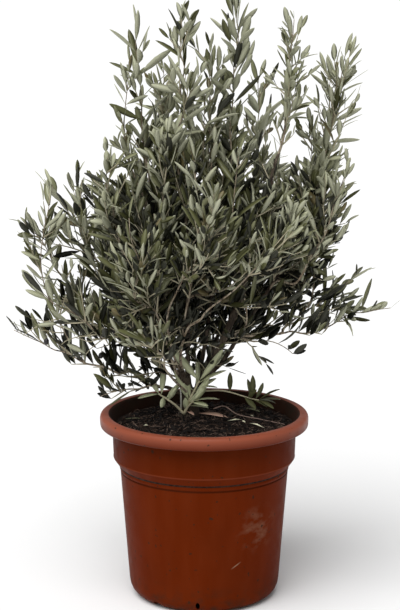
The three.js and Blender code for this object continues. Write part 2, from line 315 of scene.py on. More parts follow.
def knocked_about(tree, height, colour):
    """The pot's colour with its marks: a scuffed patch, a scratch, splashes of soil and a dirty foot."""
    smears = times(tree, near(tree, SCUFF_PLACE, SCUFF_RADIUS),
                   ramp(tree, speckle(tree, 38.0, 9.0, (1, 1, 1.4)), 0.47, 0.80, 0.0, 0.36))
    colour = mixed(tree, smears, colour, SCUFF_GREY)
    off = node_of(tree, "ShaderNodeVectorMath", {0: own_place(tree), 1: SCRATCH_PLACE}, operation="SUBTRACT")
    side = node_of(tree, "ShaderNodeVectorMath", {0: off.outputs[0], 1: ACROSS_SCRATCH},
                   operation="DOT_PRODUCT")
    line = node_of(tree, "ShaderNodeMath", {0: side.outputs["Value"]}, operation="ABSOLUTE").outputs[0]
    scratch = times(tree, near(tree, SCRATCH_PLACE, SCRATCH_REACH),
                    ramp(tree, line, 0.0016, 0.0006, 0.0, 0.7))
    colour = mixed(tree, scratch, colour, SCUFF_GREY)
    splashes = ramp(tree, speckle(tree, 105.0, 1.0), 0.72, 0.745, 0.0, 0.85)
    colour = mixed(tree, splashes, colour, GRIME_AND_SHADE)
    foot = times(tree, ramp(tree, height, SPLASH_TOP, 0.005), ramp(tree, speckle(tree, 45.0, 6.0), 0.45, 0.7))
    return mixed(tree, times(tree, foot, 0.75), colour, GRIME_AND_SHADE)


def pot_plastic(name, specular):
    """Polypropylene with a faint moulded grain; the rim, worn smooth, is glossier than the wall."""
    material, tree, shader = blank_material(name, 0.42, specular)
    height = node_of(tree, "ShaderNodeSeparateXYZ", {"Vector": own_place(tree)}).outputs["Z"]
    colour = knocked_about(tree, height, aged_plastic(tree, height))
    tree.links.new(colour, shader.inputs["Base Color"])
    worn = ramp(tree, speckle(tree, 40.0, 6.0), 0.35, 0.7, 0.36, 0.52)
    tree.links.new(worn, shader.inputs["Roughness"])
    skin = node_of(tree, "ShaderNodeMath", {
        0: speckle(tree, 700.0, 2.0), 1: times(tree, speckle(tree, 14.0, 2.0), 6.0)}, operation="ADD")
    relief(tree, shader, skin.outputs[0], 0.00012)
    return material


def stained_and_shaded_wall():
    """The pot's inner face, stained by wet compost and painted dark as the shade inside the pot."""
    material, tree, shader = blank_material("stained and shaded wall", 0.8, 0.1)
    stains = ramp(tree, speckle(tree, 30.0, 6.0), 0.35, 0.7)
    tree.links.new(mixed(tree, stains, GRIME_AND_SHADE, WALL_STAIN_AND_SHADE), shader.inputs["Base Color"])
    relief(tree, shader, speckle(tree, 300.0, 6.0), 0.0004)
    return material


pot = turned_pot(filleted(POT_CORNERS))
cutters = [drain_cutter(b, SCOOP_SIZE, 0) for b in SCOOP_BEARINGS]
cutters += [drain_cutter(b, NOTCH_SIZE, NOTCH_LEVEL) for b in NOTCH_BEARINGS]
for cutter in cutters:
    cut = pot.modifiers.new("drain", "BOOLEAN")
    cut.object = cutter
    cut.operation = "DIFFERENCE"
    cut.solver = "MANIFOLD"
apply_modifiers(pot)
for cutter in cutters:
    bpy.data.objects.remove(cutter)
pot.data.shade_smooth()
pot.data.set_sharp_from_angle(angle=math.radians(CRISP_EDGE))
pot.data.materials.clear()
for skin in (pot_plastic("pot plastic", 0.015), stained_and_shaded_wall(), pot_plastic("pot rim", 0.13)):
    pot.data.materials.append(skin)
# inward-facing faces take the inner wall's skin, stained and painted dark as shade; the rim's top takes the
# glossier rim skin
for face in pot.data.polygons:
    outward = Vector((face.center.x, face.center.y, 0)).normalized()
    if face.center.z > POT_FLOOR / 2 and face.normal.dot(outward) < INWARD_FACING:
        face.material_index = 1
    elif face.center.z > LIP_FOOT:
        face.material_index = 2
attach(pot, "root")
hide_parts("pot")

# ---- Compost -----------------------------------------------------------------------------------
# Moist potting compost of peat and shredded bark, filled to just under the rim and mounded a little
# round the stems. It is one crumbly body here, with the loose bark strewn over it further down.
COMPOST_RINGS = 110
COMPOST_FACETS = 220
COMPOST_DARK = (0.0075, 0.0045, 0.0035)
COMPOST_LIGHT = (0.040, 0.024, 0.017)
CRUMB = 0.0055
# widths of the crumbs and their share of the height
CRUMB_SIZES = ((0.034, 0.5), (0.013, 0.45), (0.006, 0.35))
# radius and height of the corners of the compost's sides and underside
ROOT_BALL = ((0.1905, 0.301), (0.1765, 0.276), (0.156, 0.034), (0.128, 0.0066), (0, 0.0066))


def solid_tree(node):
    """A search tree over a CAD node's faces."""
    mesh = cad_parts[node].data
    return BVHTree.FromPolygons([v.co for v in mesh.vertices], [p.vertices for p in mesh.polygons])


soil_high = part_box("soil")[1]
soil_faces = solid_tree("soil")


def soil_top(x, y):
    """Height of the compost's surface, with its crumbs; flush against the pot's wall."""
    inward = min(1.0, 0.985 * soil_high.x / max(math.hypot(x, y), 1e-6))
    hit = soil_faces.ray_cast(Vector((x * inward, y * inward, 1.0)), Vector((0, 0, -1)))[0]
    crumbs = 0.0
    for size, share in CRUMB_SIZES:
        crumbs += share * noise.noise(Vector((x / size, y / size, 3.1)))
    return hit.z + CRUMB * crumbs


def compost_body():
    """The crumbly top, over a root ball that fills the pot to just inside its wall and floor."""
    shape = bmesh.new()
    top_radius = soil_high.x - 0.0004
    radii = [top_radius * k / COMPOST_RINGS for k in range(COMPOST_RINGS + 1)]
    rings = [ring_at(shape, radius, 0, COMPOST_FACETS) for radius in radii]
    for vert in shape.verts:
        vert.co.z = soil_top(vert.co.x, vert.co.y)
    rings += [ring_at(shape, radius, height, COMPOST_FACETS) for radius, height in ROOT_BALL]
    skin_rings(shape, rings, COMPOST_FACETS)
    return finished("compost", shape, 60)


def crumbly_soil():
    """Dark wet peat with paler flecks of bark."""
    material, tree, shader = blank_material("bark compost", 0.95, 0.2)
    flecks = ramp(tree, speckle(tree, 150.0, 8.0), 0.38, 0.72)
    tree.links.new(mixed(tree, flecks, COMPOST_DARK, COMPOST_LIGHT), shader.inputs["Base Color"])
    relief(tree, shader, speckle(tree, 260.0, 8.0), 0.0016)
    return material


compost = compost_body()
compost.data.materials.append(crumbly_soil())
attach(compost, "root")
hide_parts("soil")

# ---- Limbs -------------------------------------------------------------------------------------
# The lines that the wood follows: a short stump that forks low, boughs that rise from it, and the
# leader of each mass of foliage, grown on from a bough. They are found from the frame's solids.
SEED = 17
STEP = 0.012
CURVE_STEPS = 12
LEAVELESS = ("pot", "soil", "trunk")
LOW_SHOOTS = ("sprout", "leaning_sprig")
CLOUD_TRIES = 500
LONG_SHAPE = 1.7
MASS_SLICES = 5
BOUGH_SLICES = 4
TURN_COST = 1.3
SINK_COST = 0.4
TIP_LEAF = 0.030
SPRAY_TIP_LEAF = 0.6 * TIP_LEAF
SPRAYS = ("left_low", "right_low", "left_hanging", "right_hanging")
# how far a limb's tip is moved off its masses' middle line, and how far the whole limb is raised
NUDGE = {"right_low": (0, 0, -0.032), "left_low": (0, 0, -0.034), "left_hanging": (0, 0, -0.012),
         "far_right_tall": (0, 0, -0.020), "mid_right_tall": (0.006, 0, 0)}
RAISED = {"left_low": 0.012, "right_low": 0.002}
BOUGH_THICKNESS = {"right_tall": 0.020, "left_tall": 0.013, "mid_right_tall": 0.011,
                   "right_low": 0.009, "left_low": 0.009}
PLAIN_BOUGH = 0.012
BRANCH_RADIUS = 0.003
# tips of the thin shoots that stand between the masses
BETWEEN = (
    (-0.155, 0.02, 1.17), (-0.115, 0.05, 1.00), (0.000, 0.02, 1.09), (0.020, -0.05, 1.01),
    (0.225, 0.06, 1.05), (0.060, 0.12, 1.04),
    (-0.030, 0.10, 1.10), (-0.125, 0.12, 1.00), (0.070, -0.06, 0.99), (-0.075, -0.06, 1.03),
    (0.012, 0.03, 1.20), (-0.315, -0.03, 0.92), (-0.02, -0.10, 0.98),
)
BETWEEN_RADIUS = 0.0022
BETWEEN_DROP = 0.36
BETWEEN_BARE = 0.08
WISP_RADIUS = 0.034
# bare stems that arch out to the front, from above the fork to where their leaves begin
ARCH_RADIUS = 0.0036
ARCH_BARE_SHARE = 0.75
ARCHES = {
    "front_right": ((-0.05, -0.05, 0.52), (-0.036, -0.14, 0.607), (-0.009, -0.17, 0.634),
                    (0.007, -0.19, 0.659), (0.057, -0.21, 0.701), (0.092, -0.22, 0.739)),
    "front_middle": ((-0.06, -0.05, 0.52), (-0.076, -0.14, 0.63), (-0.055, -0.19, 0.697),
                     (-0.035, -0.22, 0.739)),
    "front_left": ((-0.06, -0.04, 0.50), (-0.097, -0.14, 0.639), (-0.122, -0.17, 0.663),
                   (-0.141, -0.20, 0.691)),
}
UP = np.array([0.0, 0.0, 1.0])
draw = np.random.default_rng(SEED)
trunk_low, trunk_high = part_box("trunk")


def unit(vector):
    """The direction of a vector."""
    return vector / max(float(np.linalg.norm(vector)), 1e-9)


def corners_of(node):
    """The node's corner points as an array."""
    return np.array([v.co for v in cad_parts[node].data.vertices])


def slice_middles(points, axis, count):
    """Middles of the slices that planes across an axis cut a cloud of points into."""
    reach = points @ axis
    edges = np.linspace(reach.min(), reach.max(), count + 1)
    middles = []
    for low, high in zip(edges, edges[1:]):
        inside = points[(reach >= low) & (reach <= high)]
        if len(inside) > 0:
            middles.append(inside.mean(0))
    return middles


def smooth_line(points, spacing=STEP):
    """A rounded line through the points, with even spacing."""
    points = [np.asarray(p, float) for p in points]
    padded = [2 * points[0] - points[1], *points, 2 * points[-1] - points[-2]]
    fine = []
    for a, b, c, d in zip(padded, padded[1:], padded[2:], padded[3:]):
        for t in np.linspace(0, 1, CURVE_STEPS, endpoint=False):
            fine.append(0.5 * (2 * b + (c - a) * t + (2 * a - 5 * b + 4 * c - d) * t ** 2
                               + (3 * b - a - 3 * c + d) * t ** 3))
    fine = np.array([*fine, points[-1]])
    run = np.concatenate([[0], np.cumsum(np.linalg.norm(np.diff(fine, axis=0), axis=1))])
    count = max(int(run[-1] / spacing), 2)
    stops = np.linspace(0, run[-1], count + 1)
    return np.stack([np.interp(stops, run, fine[:, k]) for k in range(3)], 1)


class Mass:
    """One solid of foliage: tells how deep in it a point is."""

    def __init__(self, node):
        self.node = node
        self.tree = solid_tree(node)
        low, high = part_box(node)
        self.low = np.array(low)
        self.high = np.array(high)
        tries = draw.uniform(self.low, self.high, (CLOUD_TRIES, 3))
        self.cloud = np.array([p for p in tries if self.depth(p) > 0])
        self.middle = self.cloud.mean(0)
        self.girth = float(np.sort(self.high - self.low)[:2].mean())

    def depth(self, point):
        """Distance in from the surface, below zero outside it."""
        spot = Vector(point)
        surface, normal, _, distance = self.tree.find_nearest(spot)
        return distance if (spot - surface).dot(normal) < 0 else -distance


class Wisp:
    """A slim sheath of foliage round a shoot that stands between the masses."""

    def __init__(self, line, radius):
        self.line = line
        self.radius = radius
        self.low = line.min(0) - radius
        self.high = line.max(0) + radius
        self.girth = 2 * radius

    def depth(self, point):
        """Distance in from the sheath's surface, below zero outside it."""
        return self.radius - float(np.linalg.norm(self.line - point, axis=1).min())


masses = {n: Mass(n) for n in sorted(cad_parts) if n not in LEAVELESS and not n.startswith("bough_")}
trunk_corners = corners_of("trunk")
fork = trunk_corners[trunk_corners[:, 2] > trunk_high.z - 0.002].mean(0)
stump = trunk_corners[trunk_corners[:, 2] < trunk_low.z + 0.002].mean(0)


def mass_line(mass, start):
    """The middle line of a mass, from the end nearest to start to the furthest one."""
    spread = mass.cloud - mass.middle
    sizes, axes = np.linalg.eigh(spread.T @ spread)
    outward = unit(mass.middle - start)
    axis = axes[:, 2] if sizes[2] > LONG_SHAPE * sizes[1] else outward
    if axis @ outward < 0:
        axis = -axis
    line = slice_middles(mass.cloud, axis, MASS_SLICES)
    corners = corners_of(mass.node)
    return [*line, corners[np.argmax(corners @ axis)]]


def mass_groups():
    """The masses of each limb, lowest first; a core mass or a low shoot stands alone."""
    groups = {}
    for name in masses:
        alone = name.startswith("core") or not name[-1].isdigit()
        groups.setdefault(name if alone else name.rsplit("_", 1)[0], []).append(name)
    return groups


class Limb:
    """A line of wood through some points, with its radius at the foot and the masses it runs through."""

    def __init__(self, name, points, thick, homes, bare):
        self.name = name
        self.line = smooth_line(points)
        self.thick = thick
        self.homes = homes
        self.bare = bare


limbs = []


def nearest_wood(point):
    """Where on the wood that has grown already a new limb would leave it, and which way it runs."""
    best = (1e9, fork, UP)
    for limb in limbs:
        line = limb.line[2:-3]
        if len(line) < 3:
            continue
        way = np.gradient(line, axis=0)
        way /= np.linalg.norm(way, axis=1, keepdims=True) + 1e-9
        gap = point - line
        away = np.linalg.norm(gap, axis=1)
        turn = 1 - (gap * way).sum(1) / (away + 1e-9)
        cost = away * (1 + TURN_COST * turn) + SINK_COST * np.maximum(line[:, 2] - point[2], 0)
        k = int(np.argmin(cost))
        if cost[k] < best[0]:
            best = (float(cost[k]), line[k], way[k])
    return best[1], best[2]


def foliage_line(name, homes):
    """The line of a limb through the middles of its masses, ended a leaf's length short of the tip."""
    line = []
    here = fork
    for home in homes:
        part = mass_line(home, here)
        line += part if home is homes[-1] else part[:-1]
        here = line[-1]
    nudge = np.array(NUDGE.get(name, (0, 0, 0)))
    shares = np.linspace(0, 1, len(line))
    line = [p + share * nudge + RAISED.get(name, 0.0) * UP for p, share in zip(line, shares)]
    tip_leaf = SPRAY_TIP_LEAF if name in SPRAYS else TIP_LEAF
    line[-1] = line[-1] - tip_leaf * unit(line[-1] - line[-2])
    return line


def grown_limb(name, homes, bough):
    """A limb from older wood out through its masses: on a bough's solid, as an arch or as a branch."""
    line = foliage_line(name, homes)
    if bough:
        middles = slice_middles(corners_of(bough), unit(line[0] - fork), BOUGH_SLICES)
        start = [fork - 0.02 * UP + 0.006 * unit(middles[0] - fork), *middles[1:]]
        return Limb(name, [*start, *line], 0.5 * BOUGH_THICKNESS.get(name, PLAIN_BOUGH), homes, 0.0)
    if name in ARCHES:
        start = [fork, *[np.array(p) for p in ARCHES[name]]]
        line = [p for p in line if p[2] > start[-1][2] + 0.03]
        bare = ARCH_BARE_SHARE * np.linalg.norm(np.diff(start, axis=0), axis=1).sum()
        return Limb(name, [*start, *line], ARCH_RADIUS, homes, bare)
    root, way = nearest_wood(line[0])
    gap = np.linalg.norm(line[0] - root)
    start = [root, root + way * gap * 0.3 + (line[0] - root) * 0.15]
    return Limb(name, [*start, *line], BRANCH_RADIUS, homes, 0.0)


def shoot_between(tip):
    """A thin limb that rises to a tip between the masses, with a wisp of foliage of its own."""
    root, way = nearest_wood(tip - BETWEEN_DROP * UP)
    lean = draw.normal(0, 0.012, 3)
    points = [root, root + 0.06 * unit(way + UP), tip - 0.16 * UP + lean, tip]
    limb = Limb("between", points, BETWEEN_RADIUS, [], BETWEEN_BARE)
    limb.homes = [Wisp(limb.line[len(limb.line) // 3:], WISP_RADIUS)]
    return limb


groups = mass_groups()
boughs = {n[len("bough_"):]: n for n in sorted(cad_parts) if n.startswith("bough_")}
from_fork = {g: np.linalg.norm(masses[homes[0]].middle - fork) for g, homes in groups.items()}
for name in sorted(groups, key=lambda g: (g not in boughs, from_fork[g])):
    limbs.append(grown_limb(name, [masses[n] for n in groups[name]], boughs.get(name)))
for x, y, top in BETWEEN:
    limbs.append(shoot_between(np.array([x, y, top - TIP_LEAF])))

# ---- Wood --------------------------------------------------------------------------------------
# The stump and the boughs, as one body with its bark: grey brown, finely ridged along the limbs and
# swollen where they fork. Thinner wood carries on from it inside the foliage.
THINNEST_BOUGH = 0.0030
LIMB_TIP = 0.0008
LIMB_TAPER = 1.25
STUMP_RADIUS = 0.0195
STUMP_TAPER = 0.003
ROOT_FLARE = 0.007
STUMP_RINGS = 14
STUMP_SIDES = 30
BOUGH_SIDES = 14
BARK_VOXEL = 0.0017
BARK_DEPTH = 0.0011
# width and height of the ridges and lumps of the bark
BARK_RIDGE = (0.0042, 0.020)
BARK_LUMP = (0.013, 0.022)
BARK_BROWN = (0.052, 0.034, 0.022)
BARK_GREY = (0.105, 0.084, 0.062)
BARK_CRACK = (0.020, 0.013, 0.009)


class Heap:
    """Many small closed shapes, joined into one piece."""

    def __init__(self):
        self.points = []
        self.rows = []
        self.slots = []
        self.count = 0

    def add(self, points, faces, slot=0):
        """Adds one shape: its points, its faces in groups of one length, and its material slot."""
        self.points.append(np.asarray(points, float).reshape(-1, 3))
        for row in faces:
            row = np.asarray(row, np.int32)
            self.rows.append(row + self.count)
            self.slots.append(np.full(len(row), slot, np.int32))
        self.count += len(self.points[-1])

    def build(self, name, materials):
        """Makes the piece out of all shapes so far."""
        mesh = bpy.data.meshes.new(name)
        points = np.concatenate(self.points)
        mesh.vertices.add(len(points))
        mesh.vertices.foreach_set("co", points.astype(np.float32).ravel())
        totals = np.concatenate([np.full(len(r), r.shape[1], np.int32) for r in self.rows])
        loops = np.concatenate([r.ravel() for r in self.rows]).astype(np.int32)
        mesh.loops.add(len(loops))
        mesh.loops.foreach_set("vertex_index", loops)
        mesh.polygons.add(len(totals))
        starts = np.concatenate([[0], np.cumsum(totals)[:-1]])
        mesh.polygons.foreach_set("loop_start", starts.astype(np.int32))
        for material in materials:
            mesh.materials.append(material)
        mesh.polygons.foreach_set("material_index", np.concatenate(self.slots))
        mesh.update(calc_edges=True)
        mesh.shade_smooth()
        made = bpy.data.objects.new(name, mesh)
        bpy.context.scene.collection.objects.link(made)
        return made


def tube(line, radii, sides):
    """A closed tapering tube along a line: its points and its faces."""
    way = np.gradient(line, axis=0)
    way /= np.linalg.norm(way, axis=1, keepdims=True) + 1e-12
    side = unit(np.cross(way[0], [0.31, 0.87, 0.37]))
    points = [line[0]]
    angles = 2 * np.pi * np.arange(sides) / sides
    for here, along, radius in zip(line, way, radii):
        side = unit(side - along * (side @ along))
        other = np.cross(along, side)
        points.extend(here + radius * (np.cos(a) * side + np.sin(a) * other) for a in angles)
    points.append(line[-1] + way[-1] * radii[-1])
    ring = np.arange(sides)
    after = (ring + 1) % sides
    quads = [np.stack([1 + k * sides + ring, 1 + k * sides + after,
                       1 + (k + 1) * sides + after, 1 + (k + 1) * sides + ring], 1)
             for k in range(len(line) - 1)]
    last = 1 + (len(line) - 1) * sides
    caps = [np.stack([np.zeros(sides, int), 1 + after, 1 + ring], 1),
            np.stack([np.full(sides, last + sides), last + ring, last + after], 1)]
    return points, [np.concatenate(quads), *caps]


def limb_radii(limb):
    """Radius at each point of a limb, which thins out faster at its foot than at its tip."""
    share = np.linspace(0, 1, len(limb.line))
    return LIMB_TIP + (limb.thick - LIMB_TIP) * (1 - share) ** LIMB_TAPER


def stump_tube():
    """The trunk below its fork, with the ribs of its root flare."""
    rises = np.linspace(0, 1, STUMP_RINGS)
    line = [stump + (fork - stump) * t for t in rises]
    points, faces = tube(np.array(line), np.ones(len(line)), STUMP_SIDES)
    shaped = []
    for k, t in enumerate(rises):
        for i in range(STUMP_SIDES):
            a = 2 * math.pi * i / STUMP_SIDES
            ribs = 1 + 0.2 * math.cos(5 * a) + 0.2 * math.cos(3 * a + 1)
            radius = STUMP_RADIUS - STUMP_TAPER * t + ROOT_FLARE * ribs * math.exp(-6 * t)
            shaped.append(line[k] + radius * np.array([math.cos(a), math.sin(a), 0]))
    return [points[0], *shaped, fork], faces


def bark_noise(x, y, z, size):
    """Noise that is size[0] wide and size[1] tall."""
    return noise.noise(Vector((x / size[0], y / size[0], z / size[1])))


def bark_body():
    """The stump and all thick limbs grown together, with the relief of the bark."""
    heap = Heap()
    heap.add(*stump_tube())
    for limb in limbs:
        radii = limb_radii(limb)
        thick = int((radii > THINNEST_BOUGH).sum())
        if thick > 3:
            heap.add(*tube(limb.line[:thick], radii[:thick], BOUGH_SIDES))
    body = heap.build("bark_wood", [])
    remesh = body.modifiers.new("grown together", "REMESH")
    remesh.mode = "VOXEL"
    remesh.voxel_size = BARK_VOXEL
    soften = body.modifiers.new("swollen forks", "SMOOTH")
    soften.iterations = 3
    apply_modifiers(body)
    mesh = body.data
    count = len(mesh.vertices)
    points = np.empty(count * 3)
    normals = np.empty(count * 3)
    mesh.vertices.foreach_get("co", points)
    mesh.vertex_normals.foreach_get("vector", normals)
    points = points.reshape(-1, 3)
    normals = normals.reshape(-1, 3)
    for k, (x, y, z) in enumerate(points.copy()):
        ridge = bark_noise(x, y, z, BARK_RIDGE)
        lump = bark_noise(x, y, z + 5 * BARK_LUMP[1], BARK_LUMP)
        points[k] += normals[k] * BARK_DEPTH * (0.75 * ridge + 0.6 * lump)
    mesh.vertices.foreach_set("co", points.ravel())
    mesh.shade_smooth()
    return body


def bark(name, brown, grey):
    """Bark in patches of two colours, with dark cracks along the limb."""
    material, tree, shader = blank_material(name, 0.85, 0.3)
    ridges = speckle(tree, 190.0, 6.0, (1, 1, 0.22))
    colour = mixed(tree, ramp(tree, speckle(tree, 38.0, 4.0), 0.35, 0.65), brown, grey)
    colour = mixed(tree, ramp(tree, ridges, 0.5, 0.36), colour, BARK_CRACK)
    tree.links.new(colour, shader.inputs["Base Color"])
    relief(tree, shader, ridges, 0.0010)
    return material


wood = bark_body()
wood.data.materials.clear()
wood.data.materials.append(bark("old bark", BARK_BROWN, BARK_GREY))
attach(wood, "root")
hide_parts("trunk", *boughs.values())

# ---- Shoots ------------------------------------------------------------------------------------
# The year's growth: slender upright shoots from the leaders, in pairs, each with shorter ones of its
# own. They keep to the frame's masses of foliage, so the sky shows between the plumes.
NODE_SPACING = 0.018
NODE_TURN_SPREAD = 14
SIDE_BARE = 0.010
BARE_TIP = 0.03
SHOOT_LIFT = 2.6
FLAT_LIFT = 1.8
SHOOT_WANDER = 2.2
SIDE_ANGLE = 34
TWIG_ANGLE = 36
ANGLE_SPREAD = 10
# length of a leader's side shoots, from and to, as a share of the girth of its mass
SIDE_LENGTHS = (0.6, 1.6)
TWIG_LENGTHS = (0.04, 0.10)
TWIG_SHARE = 0.42
# foliage stays this far inside its masses; below the cleft it also fills gaps between two of them
LEAF_MARGIN = 0.004
MEETING = 0.030
CROWN_CLEFT = 0.92
# a mass thinner or lower than this carries fewer side shoots
SLENDER = 0.13
FLAT = 0.09
FULL_CHANCE = 0.66
SLENDER_CHANCE = 0.44
FLAT_CHANCE = 0.36
# how many of their side shoots the limbs keep, and how large their leaves are, where not 1
FULLNESS = {
    "far_right_tall": 0.70, "right_tall": 1.2, "mid_left_tall": 0.75, "mid_right_tall": 0.95,
    "left_tall": 0.6, "right_curved": 0.7, "left_shoulder": 0.55, "right_cluster": 0.48,
    "left_under": 0.35, "right_hanging": 0.30, "between": 0.5, "left_hanging": 0.7,
    "left_leaning": 0.5, "left_low": 0.62, "right_low": 1.1, "front_low": 0.6,
}
LEAF_SIZES = {"mid_right_tall": 1.22, "mid_left_tall": 1.12, "left_tall": 1.15, "front_left": 1.1,
              "right_tall": 0.95, "between": 1.05, "left_leaning": 1.1, "right_low": 1.1, "left_low": 1.15}
SPROUT_LOW, SPROUT_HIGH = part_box("sprout")
SPROUT_ROOM = 0.025
# the low twigs: where they may start along a bough, how many do, and the room that they keep to
LOW_TWIG_SPOTS = np.arange(0.05, 0.24, 0.014)
LOW_TWIG_CHANCE = 0.60
LOW_TWIG_FLOOR = 0.44
LOW_TWIG_TOP = 0.62
LOW_TWIG_RIGHT = 0.10
STUMP_ROOM = 0.05
FLOOR_BY_STUMP = 0.41
FOOT_TOP = 0.53
RIGHT_AT_FOOT = 0.03
LOW_TWIG_BARE = 0.02
LOW_TWIG_LEAF = 0.85
SIDE_RADIUS = 0.0021
TWIG_RADIUS = 0.0016
TWIG_TIP = 0.0008
LEADER_BROWN = (0.19, 0.142, 0.095)
LEADER_GREY = (0.42, 0.36, 0.27)
YOUNG_TWIG = (0.26, 0.235, 0.15)
YOUNG_TWIG_PALE = (0.50, 0.45, 0.32)


class Shoot:
    """One line of young wood: its rank, the masses that it grows in and the length without leaves."""

    def __init__(self, line, rank, home, bare, size):
        self.line = line
        self.rank = rank
        self.home = home
        self.bare = bare
        self.size = size
        self.run = np.concatenate([[0], np.cumsum(np.linalg.norm(np.diff(line, axis=0), axis=1))])
        self.way = np.gradient(line, axis=0)

    def at(self, spot):
        """The point at a length along the shoot, and the direction of growth there."""
        here = np.array([np.interp(spot, self.run, self.line[:, k]) for k in range(3)])
        return here, unit(np.array([np.interp(spot, self.run, self.way[:, k]) for k in range(3)]))


def leafy(point, home):
    """Whether foliage grows here: inside the shoot's own mass or another, or where two nearly meet."""
    if home.depth(point) > LEAF_MARGIN:
        return True
    near_masses = 0
    for mass in masses.values():
        if np.all(point > mass.low - MEETING) and np.all(point < mass.high + MEETING):
            depth = mass.depth(point)
            if depth > LEAF_MARGIN:
                return True
            near_masses += depth > -MEETING
    return near_masses > 1 and point[2] < CROWN_CLEFT


def grown(start, heading, length, home, lift):
    """A shoot that turns upward as it grows and stops where the foliage ends."""
    line = [start]
    bend = draw.normal(0, SHOOT_WANDER, 3)
    for _ in range(int(length / STEP)):
        heading = unit(heading + (lift * UP + bend) * STEP)
        ahead = line[-1] + heading * STEP
        if not leafy(ahead, home):
            break
        line.append(ahead)
    return np.array(line)


def aside(way, turn):
    """A direction square to a line of growth, turned round it."""
    first = unit(np.cross(way, [0.12, 0.93, 0.35]))
    return math.cos(turn) * first + math.sin(turn) * np.cross(way, first)


def grow_sides(shoot, lengths, chance, lift, angle):
    """The side shoots of a shoot, in pairs at its nodes, each pair square to the last."""
    turn = draw.uniform(0, 2 * math.pi)
    sides = []
    spot = shoot.bare
    while spot < shoot.run[-1] - BARE_TIP:
        here, along = shoot.at(spot)
        home = min(shoot.home, key=lambda m: -m.depth(here))
        left = 1 - spot / shoot.run[-1]
        for half in (0, math.pi):
            if draw.random() > chance:
                continue
            lean = math.radians(draw.normal(angle, ANGLE_SPREAD))
            heading = math.cos(lean) * along + math.sin(lean) * aside(along, turn + half)
            length = draw.uniform(*lengths) * (0.45 + 0.75 * left)
            side = grown(here, heading, length, home, lift)
            if len(side) > 2:
                sides.append(Shoot(side, shoot.rank + 1, [home], SIDE_BARE, shoot.size))
        turn += math.radians(90 + draw.normal(0, NODE_TURN_SPREAD))
        spot += NODE_SPACING * draw.uniform(0.85, 1.25)
    return sides


def shoots_of(limb):
    """The leader of one limb, its side shoots and theirs."""
    girth = np.mean([m.girth for m in limb.homes])
    flat = limb.homes[0].high[2] - limb.homes[0].low[2] < FLAT
    entry = 0
    while entry < len(limb.line) - 3 and limb.homes[0].depth(limb.line[entry]) < 0:
        entry += 1
    size = LEAF_SIZES.get(limb.name, 1.0)
    leader = Shoot(limb.line, 0, limb.homes, max(entry * STEP, limb.bare), size)
    lift = FLAT_LIFT if flat else SHOOT_LIFT
    chance = FLAT_CHANCE if flat else SLENDER_CHANCE if girth < SLENDER else FULL_CHANCE
    chance *= FULLNESS.get(limb.name, 1.0)
    lengths = [share * girth for share in SIDE_LENGTHS]
    first = grow_sides(leader, lengths, chance, lift, SIDE_ANGLE)
    second = []
    for side in first:
        if len(side.line) > 5:
            second += grow_sides(side, TWIG_LENGTHS, TWIG_SHARE * chance, lift, TWIG_ANGLE)
    return [leader, *first, *second]


def beside_sprout(point):
    """Whether a point is in the room that the sprout at the foot takes up, or in front of it."""
    across = SPROUT_LOW.x - SPROUT_ROOM < point[0] < SPROUT_HIGH.x
    return across and point[1] < SPROUT_HIGH.y and point[2] < SPROUT_HIGH.z + SPROUT_ROOM


def low_twig(limb, k):
    """A short thin shoot from the k-th point of a bough, or None where it would be in the way."""
    here = limb.line[k]
    floor_level = FLOOR_BY_STUMP if abs(here[0] - stump[0]) < STUMP_ROOM else LOW_TWIG_FLOOR
    rightmost = RIGHT_AT_FOOT if here[2] < FOOT_TOP else LOW_TWIG_RIGHT
    if not floor_level < here[2] < LOW_TWIG_TOP or here[0] > rightmost:
        return None
    way = unit(limb.line[k + 1] - here)
    heading = unit(0.5 * way + aside(way, draw.uniform(0, 2 * math.pi)) + 0.1 * UP)
    line = [here]
    for _ in range(int(draw.uniform(3, 8))):
        heading = unit(heading + draw.normal(0, 0.16, 3))
        line.append(line[-1] + heading * STEP)
    if min(p[2] for p in line) <= floor_level - 0.01 or any(beside_sprout(p) for p in line[1:]):
        return None
    return Shoot(np.array(line), 2, limb.homes, LOW_TWIG_BARE, LOW_TWIG_LEAF)


def young_bark(name, green, pale):
    """Smooth green bark with pale mottling."""
    material, tree, shader = blank_material(name, 0.7, 0.35)
    mottle = ramp(tree, speckle(tree, 55.0, 4.0), 0.3, 0.7)
    tree.links.new(mixed(tree, mottle, green, pale), shader.inputs["Base Color"])
    return material


grown_limbs = [limb for limb in limbs if limb.name not in LOW_SHOOTS]
shoots = []
for limb in grown_limbs:
    shoots += shoots_of(limb)
for limb in grown_limbs:
    for spot in LOW_TWIG_SPOTS:
        k = int(spot / STEP)
        if k <= len(limb.line) - 3 and draw.random() <= LOW_TWIG_CHANCE:
            twig = low_twig(limb, k)
            if twig:
                shoots.append(twig)
leaders = Heap()
for limb in grown_limbs:
    radii = limb_radii(limb)
    first = max(int((radii > THINNEST_BOUGH).sum()) - 3, 0)
    leaders.add(*tube(limb.line[first:], radii[first:] * 0.98, 7))
twigs = Heap()
for shoot in shoots:
    if shoot.rank > 0:
        root = SIDE_RADIUS if shoot.rank == 1 else TWIG_RADIUS
        twigs.add(*tube(shoot.line, np.linspace(root, TWIG_TIP, len(shoot.line)), 5))
leader_wood = leaders.build("leader_wood", [bark("young bark", LEADER_BROWN, LEADER_GREY)])
twig_wood = twigs.build("twigs", [young_bark("twig bark", YOUNG_TWIG, YOUNG_TWIG_PALE)])
for piece in (leader_wood, twig_wood):
    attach(piece, "root")

# ---- Leaves ------------------------------------------------------------------------------------
# Narrow leathery leaves in opposite pairs, widest past the middle, grey green above and silvery
# beneath. Each is a thin closed blade on a short stalk; sprays differ in colour, partly at random and
# partly as painted light: pale high and out in the crown, and nearly black deep and low in it as painted
# shade.
LEAF_LENGTH = 0.053
LEAF_WIDTH = 0.0122
LEAF_THICKNESS = 0.0007
